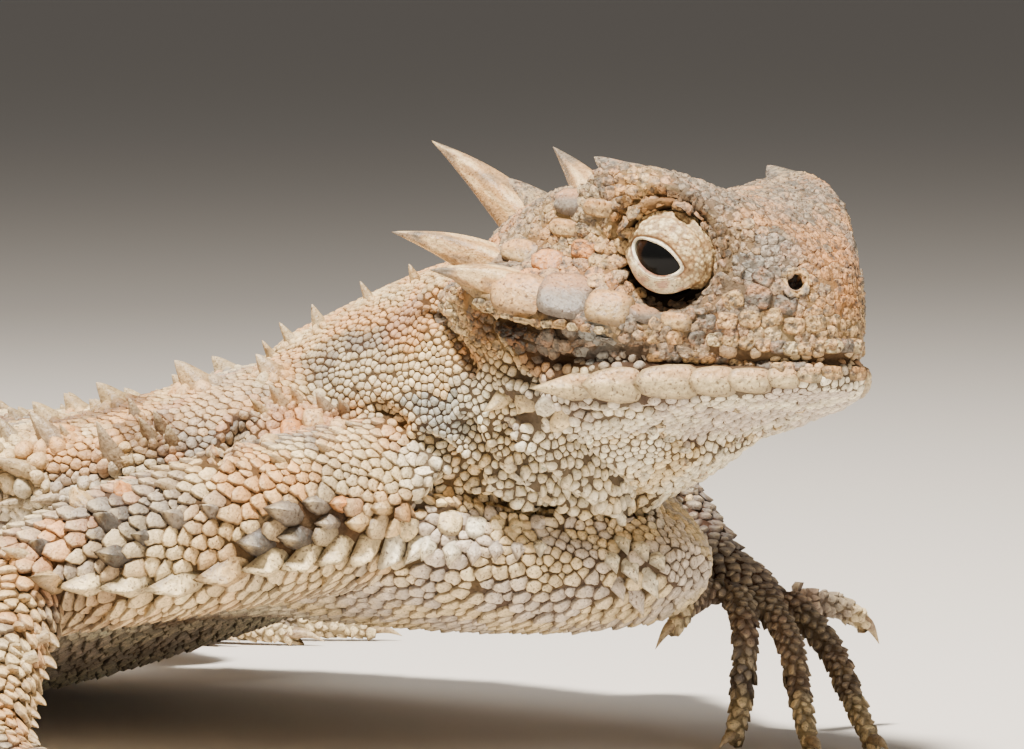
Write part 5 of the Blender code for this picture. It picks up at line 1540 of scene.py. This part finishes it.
def make_horns(body, paint):
    """The horns, each ridged along its length and bowed."""
    for name, root, tip, radius in HORNS:
        for side, side_name in SIDES:
            ends = [head_to_world(mirrored(p, side)) for p in (root, tip)]
            bow = head_to_world(mirrored(HORN_BOW, side)) - head_to_world((0, 0, 0))
            stack = tapered(*ends, radius * 1.05, 40, 40, 0.9, bow, 0.06, 1.0, 0.12)
            title = f"{name}_{side_name}"
            horn = point_piece(f"{title}_fine", [stack], paint, [HORN_ROOT], HORN_TIP, body.uv_at)
            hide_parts(title)


def make_claws(body, paint):
    """The claws of each hand and foot."""
    for paws, limbs, radius, kind in ((HAND, ARM, FINGER_RADIUS, "hand"), (FOOT, LEG, TOE_RADIUS, "foot")):
        for side in ("left", "right"):
            stacks = []
            for line in digit_lines(limbs[side][1], *paws[side]):
                root, tip = line[-2:]
                stacks.append(tapered(root + unit(root - tip) * 0.1, tip, radius * 0.5, 12, 10, 0.85,
                                      (0, 0, 0.2), 0.0, 0.2))
            point_piece(f"claws_{kind}_{side}", stacks, paint, [CLAW_ROOT] * 5, CLAW_TIP, body.uv_at)


def petals(body, spines, rng):
    """Scales standing round the root of each stout spine."""
    angles = round_angles(PETAL_SIDES)
    rows = []
    for spine in spines:
        if spine.radius < 0.3:
            continue
        normal = spine.normal
        hint = tangents(np.cross(normal, (0.3, 0.9, 0.2)), normal)
        other = np.cross(normal, hint)
        for k in range(PETALS):
            turned = 2 * math.pi * (k + rng.random() * 0.3) / PETALS
            out = math.cos(turned) * hint + math.sin(turned) * other
            half = spine.radius * rng.uniform(0.42, 0.55)
            reach = half / np.sqrt((np.cos(angles) / 1.15) ** 2 + np.sin(angles) ** 2)
            rows.append((spine.root + out * (spine.radius * 0.98 + half * 0.35), unit(normal + out * 0.35),
                         unit(-out + normal * 0.1), reach))
    root, normal, lie, reach = (np.array(v) for v in zip(*rows))
    colour = body.colours(root, normal, body.guide.read(root))
    # The petals' edge colour is partly their own darker rim and partly painted shade
    coat = {"root": root, "normal": normal, "lie": tangents(lie, normal), "reach": reach, "colour": colour,
            "edge": colour * 0.5, "bend": np.full((len(root), 2), 0.3),
            "uv": np.array([body.uv_at(p) for p in root])}
    return {**coat, **{key: np.full(len(root), value) for key, value in PETAL_SHAPE.items()}}
# Sowing of the small scales

ROW_JITTER, SIZE_JITTER = 0.07, (0.92, 1.08)
# Candidates to each place of the pattern, and how many places a spacing squared holds
CANDIDATES, PLACES = 4, 1.155
EVEN_ROUNDS, RELAX_ROUNDS = 3, 5
# Bare skin round the eyes' axes, the nostrils and the mouth's line
EYE_CLEAR, NOSTRIL_CLEAR, MOUTH_CLEAR = 1.8, NOSTRIL_RIM * 0.95, 0.05
GROUPS = ("skull", "head", "neck", "trunk", "tail", "limbs")


class Body:
    """The sculpted skin, and what every piece on it asks for: guide, markings with their painted shade, and
    unwrap.
    """

    def __init__(self):
        parts = body_parts()
        self.guide = Guide(parts)
        self.corners = atlas_corners(self.guide.names)
        points, self.faces = make_skin_mesh(parts)
        points = relax_mesh(points, self.faces, RELAX_ROUNDS)
        surface = surface_of(points, self.faces)
        self.nostrils = {side: nostril_place(surface, side) for side in (1, -1)}
        self.points = sculpt_skin(points, self.faces, surface, self.nostrils)
        self.normals = point_normals(self.points, self.faces)
        self.surface = surface_of(self.points, self.faces)
        self.patches = patch_places(self.surface)

    def colours(self, points, normals, place):
        """The markings, with their painted shadow and shade, at points of the body."""
        return markings_and_painted_shade(points, normals, place, self.patches)

    def unwrap(self, place):
        """Where each point lies on the unwrap of the body's own shape, by part, length and girth."""
        left, low, wide, high = self.corners[place["index"]].T
        return np.stack([left + wide * place["around"], low + high * place["along"]], 1)

    def uv_at(self, point):
        """Where one point lies on the unwrap."""
        return self.unwrap(self.guide.read(np.atleast_2d(point)))[0]


def skull_share(points, part):
    """1 on the upper head, 0 below its lips and off it."""
    return smooth(-0.3, 0.5, world_to_head(points)[:, 2]) * (part == "head")


def make_skin(body, paint):
    """The skin, which shows only as dark seams between the scales: its own dark brown deepened by painted
    shade, and painted near black as shade in the hollows round the eyes.
    """
    place = body.guide.read(body.points)
    seam_colour_and_shade = body.colours(body.points, body.normals, place) * 0.42
    pale = np.maximum(skull_share(body.points, place["part"]), np.char.startswith(place["part"], "digit_"))
    # The seams are partly the skin's own dark brown and partly painted shade between the scales
    seam_colour_and_shade = mix(mix(seam_colour_and_shade, SEAM * 0.8, 0.75), seam_colour_and_shade * 1.5, 0.6 * pale)
    for side in (1, -1):
        ahead, aside = from_eye(body.points, side)
        # Painted shade: the skin in each eye's hollow is darkened to near black
        seam_colour_and_shade = mix(seam_colour_and_shade, DARK * 0.5, smooth(2.15, 1.9, aside) * (ahead > 0))
    uvs = body.unwrap(place)[body.faces.ravel()]
    skin = fast_mesh("skin", body.points, body.faces, paint, seam_colour_and_shade, uvs)
    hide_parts(*FLESH)


def make_lids(name, side, paint):
    """The lids of one eye, and their points and faces."""
    rings, shares, rise, grain = lid_rings(side)
    points, faces = rings.reshape(-1, 3), wall_faces(LID_RINGS, LID_SIDES)
    around, out = np.meshgrid(np.arange(LID_SIDES) / LID_SIDES, shares, indexing="xy")
    box = np.array(ATLAS["lids"])
    uvs = (box[:2] + np.stack([around, out], -1).reshape(-1, 2) * box[2:])[faces.ravel()]
    lids = fast_mesh(f"lids_{name}", points, faces, paint, lid_colours(shares, rise, rings, grain), uvs)
    return points, faces


def make_eyes(body, paints):
    """Both eyes with their lids. Returns one surface of skin and lids, which the small scales rest on."""
    points, faces = body.points, body.faces
    for side, name in SIDES:
        lid_points, lid_faces = make_lids(name, side, paints["scale"])
        faces = np.concatenate([faces, lid_faces + len(points)])
        points = np.concatenate([points, lid_points])
        make_eyeball(side, name, paints["eye"])
    return surface_of(points, faces)


def bare_of_features(body):
    """Whether each point of the skin lies off the eyes, the nostrils and the mouth's line."""
    bare = np.ones(len(body.points), bool)
    for side in (1, -1):
        ahead, aside = from_eye(body.points, side)
        bare &= ~((aside < EYE_CLEAR) & (ahead > 0))
        bare &= np.linalg.norm(body.points - body.nostrils[side][0], axis=1) > NOSTRIL_CLEAR
    x, y, z = world_to_head(body.points).T
    off = np.abs(z - spline(MOUTH_X, MOUTH_LINE_Z, x))
    return bare & ~((x > 6.2) & (off < MOUTH_CLEAR) & (np.abs(y) < MOUTH_HALF_WIDTH))


def sow(body, dice):
    """Candidate places for scales with their normals and sizes, those on a regular pattern first."""
    corners = body.points[body.faces]
    cross = np.cross(corners[:, 2] - corners[:, 0], corners[:, 3] - corners[:, 1])
    face_normals = unit(body.normals[body.faces].mean(1))
    centres = corners.mean(1)
    face_sizes = scale_shapes(centres, face_normals, body.guide.read(centres))["size"]
    weight = np.linalg.norm(cross, axis=1) / 2 / face_sizes**2 * bare_of_features(body)[body.faces].all(1)
    count = int(weight.sum() * PLACES * CANDIDATES)
    chosen = dice.choice(len(weight), count, p=weight / weight.sum())
    u, v = dice.random((2, count, 1))
    a, b, c, d = (corners[chosen, k] for k in range(4))
    points = (a * (1 - u) + b * u) * (1 - v) + (d * (1 - u) + c * u) * v
    sizes = face_sizes[chosen] * dice.uniform(*SIZE_JITTER, count)
    place = body.guide.read(points)
    bony = (place["part"] == "head") & (world_to_head(points)[:, 2] > -1.2)
    error = np.where(bony, dice.random(count) * 0.7, row_error(place, face_sizes[chosen]))
    order = np.argsort(error, kind="stable")
    return points[order], face_normals[chosen][order], sizes[order]


def clear_of_spines(points, spines):
    """Whether each point lies off every spine's root."""
    tree = tree_of(np.array([spine.root for spine in spines]))
    near = (tree.find_range(point, 1.0) for point in points)
    return np.array([all(distance >= spines[k].radius * 0.75 for _, k, distance in found) for found in near])


def settle(offered, whole, placed, spines):
    """Places, normals and sizes of the scales that stay: spread evenly, with the holes filled."""
    clear = clear_of_plates(offered[0], placed)
    offered = [value[clear] for value in offered]
    clear = clear_of_spines(offered[0], spines)
    offered = [value[clear] for value in offered]
    kept = thin_out(*offered)
    points, sizes = offered[0][kept], offered[2][kept]
    for _ in range(EVEN_ROUNDS):
        points, normals = even_out(points, sizes, whole)
    clear = clear_of_plates(points, placed)
    points, normals, sizes = points[clear], normals[clear], sizes[clear]
    extra, extra_sizes = fill_gaps(*offered, points)
    return (np.concatenate([points, offered[0][extra]]), np.concatenate([normals, offered[1][extra]]),
            np.concatenate([sizes, extra_sizes]))


def small_coat(body, points, normals, dice):
    """All small scales as one coat, with the part of the body that each lies on."""
    place = body.guide.read(points)
    part, shape, count = place["part"], scale_shapes(points, normals, place), len(points)
    lies = tangents(place["lie"] + dice.normal(0, ROW_JITTER, points.shape), normals)
    # These draws have no use. They keep the order of the draws below
    dice.random(count)
    skull = skull_share(points, part)
    colour = body.colours(points, normals, place)
    colour = colour * (1 + dice.normal(0, 0.1, (count, 1)) * (1 - 0.5 * skull[:, None]))
    on_limb = ~np.isin(part, tuple(ATLAS)) * (skull < 0.1)
    # The edge colour is partly the scales' own darker rims and partly painted shade
    coat = {"root": points, "normal": normals, "lie": lies, "colour": colour, "uv": body.unwrap(place),
            "height": shape["height"] * dice.uniform(0.75, 1.3, count), "tilt": shape["tilt"],
            "keel": shape["keel"], "tip": shape["tip"], "tip_tint": np.where(shape["tip"] > 0.3, 0.35, 0.0),
            "edge": mix(mix(colour * 0.5, SEAM, 0.45), colour * 0.7, 0.75 * skull), "rough": 0.75 * skull,
            "top_tint": np.zeros(count), "sharp": 0.5 * on_limb}
    return coat, part, skull


def seen_closely(points, normals, sizes, part, skull):
    """Whether each scale lies in front, where the photograph shows it sharply."""
    front = (part == "head") | (part == "neck") | (np.char.find(part, "arm") >= 0) & (points[:, 1] < 2)
    front |= (part == "trunk") & (points[:, 0] > 8)
    return front & (normals @ LOOK < 0.35) & ((sizes > 0.3) | (skull > 0.5))


def make_small_scales(body, points, normals, sizes, paints, dice):
    """Pieces of small scales by part of the body, finer in front than elsewhere."""
    coat, part, skull = small_coat(body, points, normals, dice)
    front = seen_closely(points, normals, sizes, part, skull)
    apart = (part == "neck") | (part == "head") & (skull < 0.1)
    apart |= (part == "trunk") & (trunk_level(points) < -0.6)
    group = np.where(skull > 0.3, "skull", np.where(np.isin(part, tuple(ATLAS)), part, "limbs"))
    for sides, rings, chosen, kind in ((12, FINE_RINGS, front, "fine"), (7, PLAIN_RINGS, ~front, "plain")):
        angles = round_angles(sides)
        reach, bend = cell_reach(points, normals, coat["lie"], sizes, angles, apart)
        shaped = {**coat, "reach": close_up(reach, skull) * (1 - 0.07 * apart[:, None]), "bend": bend}
        for title in GROUPS:
            here = chosen & (group == title)
            if here.any():
                flat = kind == "fine" and title in ("skull", "trunk", "limbs")
                levels = FLAT_RINGS if flat else rings
                paint = paints["skull" if title == "skull" else "scale"]
                make_scale_pieces(f"scales_{kind}_{title}", pick(shaped, here), levels, paint)


def make_plates(body, placed, paints, dice):
    """The skull's small rugose plates, and all others."""
    coat = plate_coat(body, placed, dice)
    rugose = coat["rough"] > 0.4
    make_scale_pieces("plates_head", pick(coat, rugose), PLATE_RINGS, paints["skull"])
    make_scale_pieces("plates_body", pick(coat, ~rugose), PLATE_RINGS, paints["plate"])


# Finishes

# Flecks of the finishes: noise scale to a metre, where they begin and are full, strength and colour
SCALE_FLECKS = ((11000.0, 0.57, 0.72, 0.75, SEAM),)
PLATE_FLECKS = ((3800.0, 0.57, 0.68, 0.4, GREY * 0.8), (8000.0, 0.57, 0.68, 0.75, SEAM))
SKULL_FLECKS = ((2600.0, 0.52, 0.64, 0.2, ORANGE), (3800.0, 0.53, 0.63, 0.75, SLATE * 0.8),
                (7500.0, 0.55, 0.66, 0.8, SEAM))


def add_node(tree, kind, **values):
    """A node with values on its inputs; an underscore stands for a space in an input's name."""
    made = tree.nodes.new(kind)
    for name, value in values.items():
        made.inputs[name.replace("_", " ")].default_value = value
    return made


def add_noise(tree, where, scale, detail):
    """Fine noise, scaled to a metre, and its output."""
    made = add_node(tree, "ShaderNodeTexNoise", Scale=scale, Detail=detail)
    tree.links.new(where.outputs["Object"], made.inputs["Vector"])
    return made.outputs["Fac"]


def add_flecks(tree, where, shown, scale, low, high, strength, fleck):
    """Flecks of one colour over the colours so far."""
    sparse = add_node(tree, "ShaderNodeMapRange", From_Min=low, From_Max=high, To_Max=strength)
    dotted = tree.nodes.new("ShaderNodeMix")
    dotted.data_type = "RGBA"
    dotted.inputs["B"].default_value = (*fleck, 1.0)
    tree.links.new(add_noise(tree, where, scale, 2.0), sparse.inputs["Value"])
    tree.links.new(sparse.outputs["Result"], dotted.inputs["Factor"])
    tree.links.new(shown, dotted.inputs["A"])
    return dotted.outputs["Result"]


def finish(name, roughness, grain, bump, bump_scale, specular=0.35, coat=0.0, flecks=()):
    """A painted finish: the mesh's own colours, mottled and flecked by fine noise, with a fine relief."""
    made = bpy.data.materials.new(name)
    made.use_nodes = True
    tree = made.node_tree
    links, shader = tree.links, tree.nodes["Principled BSDF"]
    shader.inputs["Roughness"].default_value = roughness
    shader.inputs["Specular IOR Level"].default_value = specular
    shader.inputs["Coat Weight"].default_value = coat
    where = tree.nodes.new("ShaderNodeTexCoord")
    colour = tree.nodes.new("ShaderNodeAttribute")
    colour.attribute_name = "colour"
    level = add_node(tree, "ShaderNodeMapRange", From_Min=0.3, From_Max=0.7, To_Min=1.0 - grain,
                     To_Max=1.0 + grain * 0.6)
    shade = tree.nodes.new("ShaderNodeVectorMath")
    shade.operation = "SCALE"
    raised = add_node(tree, "ShaderNodeBump", Strength=bump, Distance=0.0001)
    links.new(add_noise(tree, where, 5200.0, 3.0), level.inputs["Value"])
    links.new(colour.outputs["Color"], shade.inputs[0])
    links.new(level.outputs["Result"], shade.inputs["Scale"])
    shown = shade.outputs["Vector"]
    for row in flecks:
        shown = add_flecks(tree, where, shown, *row)
    links.new(shown, shader.inputs["Base Color"])
    links.new(add_noise(tree, where, bump_scale, 2.0), raised.inputs["Height"])
    links.new(raised.outputs["Normal"], shader.inputs["Normal"])
    return made


def make_finishes():
    """The painted finishes of the animal."""
    paints = {
        "skin": finish("skin_paint", 0.8, 0.3, 0.5, 9000.0, 0.08),
        "scale": finish("scale_paint", 0.55, 0.28, 0.6, 8000.0, 0.4, flecks=SCALE_FLECKS),
        "plate": finish("plate_paint", 0.5, 0.25, 0.5, 7000.0, 0.4, flecks=PLATE_FLECKS),
        "skull": finish("skull_paint", 0.6, 0.35, 1.0, 6500.0, 0.35, flecks=SKULL_FLECKS),
        "horn": finish("horn_paint", 0.5, 0.3, 0.7, 6000.0, 0.4, flecks=SCALE_FLECKS),
        "eye": finish("eye_gloss", 0.22, 0.1, 0.0, 3000.0, 0.1, 0.05),
    }
    paints["eye"].node_tree.nodes["Principled BSDF"].inputs["Coat Roughness"].default_value = 0.03
    return paints


def plain_finish(name, colour, roughness):
    """Material of one colour."""
    made = bpy.data.materials.new(name)
    made.use_nodes = True
    shader = made.node_tree.nodes["Principled BSDF"]
    shader.inputs["Base Color"].default_value = (*colour, 1.0)
    shader.inputs["Roughness"].default_value = roughness
    return made


def make_eyeball(side, name, paint):
    """The eyeball: a near-black pupil with a thin brown iris at its rim."""
    eye, axis = head_to_world(mirrored(EYE_AT, side)), eye_axis(side)
    count, sides = 56, 64
    hint = unit(np.cross(axis, (0, 0, 1.0)))
    other = np.cross(axis, hint)
    turned = np.linspace(0.0, math.pi, count)
    around = round_angles(sides)
    bulge = EYEBALL + 0.1 * np.exp(-(turned / 0.55) ** 2)
    out = np.cos(around)[None, :, None] * hint + np.sin(around)[None, :, None] * other
    ways = np.cos(turned)[:, None, None] * axis + np.sin(turned)[:, None, None] * out
    rings = eye + bulge[:, None, None] * ways
    rings[0] += (rings[1] - rings[0]) * 0.01
    rings[-1] += (rings[-2] - rings[-1]) * 0.01
    iris = smooth(0.56, 0.64, turned) * smooth(0.95, 0.85, turned)
    shade = mix(np.full(3, 0.003), tint(58, 34, 16), 0.35 * iris)
    faces = wall_faces(count, sides)
    grid = np.stack(np.meshgrid(turned / math.pi, around / 6.3, indexing="ij"), -1).reshape(-1, 2)
    uvs = ((0.64, 0.62) + grid * 0.05)[faces.ravel()]
    colours = np.repeat(shade, sides, axis=0)
    piece = fast_mesh(f"eye_{name}_ball", rings.reshape(-1, 3), faces, paint, colours, uvs)
    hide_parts(f"eye_{name}")


def make_nostrils(body, paint):
    """A raised rim round each nostril, with painted shade darkening its hole."""
    count, sides = 24, 40
    profile = finer(NOSTRIL_PROFILE, count)
    around = round_angles(sides)
    painted_hole_shade = np.repeat(smooth(0.02, -0.2, profile[:, 1]) * (profile[:, 0] < 0.4), sides)
    faces = wall_faces(count, sides)
    for side, name in SIDES:
        middle, normal = body.nostrils[side]
        hint = tangents(np.array((0.3, 0.2, 1.0)), normal)
        flat = np.stack([hint, np.cross(normal, hint)], 1)
        out = np.cos(around)[:, None] * flat[:, 0] + np.sin(around)[:, None] * flat[:, 1]
        grid = (middle + out[None] * profile[:, :1, None] + normal * profile[:, 1:, None]).reshape(-1, 3)
        lumps = field(grid, 2.6, 3)
        grid = grid + normal * (0.2 * lumps)[:, None] + (grid - middle) * (0.12 * lumps)[:, None]
        # Painted shade: the inside of each nostril's hole is painted dark
        shade = mix(mix(TAN, GREY, smooth(-0.1, 0.3, lumps)), DARK, painted_hole_shade)
        uvs = body.uv_at(middle) + (grid[faces.ravel()] @ flat - middle @ flat) * 0.002
        fast_mesh(f"nostril_rim_{name}", grid, faces, paint, shade, uvs)


# Studio

def add_camera():
    """The camera that took the photograph's view."""
    data = bpy.data.cameras.new("photo_camera")
    data.lens = FOCAL_PIXELS / IMAGE[0] * SENSOR
    data.sensor_width = SENSOR
    data.clip_start = 0.01
    camera = add_object("photo_camera", data)
    camera.matrix_world = (Matrix.Translation(Vector((LENS_AT - (REST_X, 0, 0)) * MM))
                           @ Matrix((RIGHT, UP, -LOOK)).transposed().to_4x4())
    bpy.context.scene.camera = camera


def add_light(name, at, size, power, colour):
    """A square lamp in millimetres from the chest, facing it."""
    data = bpy.data.lights.new(name, "AREA")
    data.size, data.energy, data.color = size * MM, power, colour
    lamp = add_object(name, data)
    aim = Vector(((AIM[0] - REST_X) * MM, 0.0, 0.008))
    lamp.location = aim + Vector(np.asarray(at) * MM)
    lamp.rotation_euler = (aim - lamp.location).to_track_quat("-Z", "Y").to_euler()


def add_studio():
    """A pale floor, three soft lamps and a dim even light from all round."""
    ground = bpy.data.meshes.new("floor")
    corners = [(x, y, -0.0001) for x, y in ((-6, -6), (6, -6), (6, 6), (-6, 6))]
    ground.from_pydata(corners, [], [(0, 1, 2, 3)])
    floor = add_object("floor", ground)
    ground.materials.append(plain_finish("floor_paint", tint(214, 206, 196), 0.9))
    add_light("key", -50 * RIGHT + 290 * UP - 130 * LOOK, 45, 4.5, (1.0, 0.95, 0.88))
    add_light("fill", 230 * RIGHT + 80 * UP - 140 * LOOK, 260, 0.25, (0.95, 0.97, 1.0))
    add_light("rim", -160 * RIGHT + 160 * UP + 180 * LOOK, 160, 0.5, (1.0, 0.97, 0.92))
    world = bpy.data.worlds.new("studio")
    world.use_nodes = True
    world.node_tree.nodes["Background"].inputs["Color"].default_value = (0.72, 0.7, 0.68, 1.0)
    world.node_tree.nodes["Background"].inputs["Strength"].default_value = 0.19
    bpy.context.scene.world = world


def cover_solids(paint):
    """A finish for the solids that stay hidden under the pieces."""
    for obj in bpy.data.objects:
        if obj.type == "MESH" and not obj.data.materials:
            obj.data.materials.append(paint)


FLESH = ("head", "lower_jaw", "neck", "torso", "tail_base", "tail_middle", "tail_tip",
         *(f"{name}_{side}" for name in ("upper_arm", "forearm", "hand", "thigh", "shin", "foot")
           for side in ("left", "right")))


def main():
    """Builds every piece, then the camera, the lights and the floor."""
    rng, dice = random.Random(SEED), np.random.default_rng(SEED)
    paints, body = make_finishes(), Body()
    make_skin(body, paints["skin"])
    whole = make_eyes(body, paints)
    make_nostrils(body, paints["skull"])
    # Plates, spines and horns first: the small scales keep clear of them
    placed = plates_on(body.surface)
    groups = spine_groups(body.surface, placed, rng)
    make_spines(body, groups, paints)
    make_horns(body, paints["horn"])
    make_claws(body, paints["horn"])
    spines = [spine for group in groups.values() for spine in group]
    settled = settle(sow(body, dice), whole, placed, spines)
    make_small_scales(body, *settled, paints, dice)
    make_plates(body, placed, paints, dice)
    make_scale_pieces("scales_round_spines", petals(body, groups["trunk"], rng), FINE_RINGS, paints["scale"])
    add_camera()
    add_studio()
    cover_solids(paints["skin"])


main()
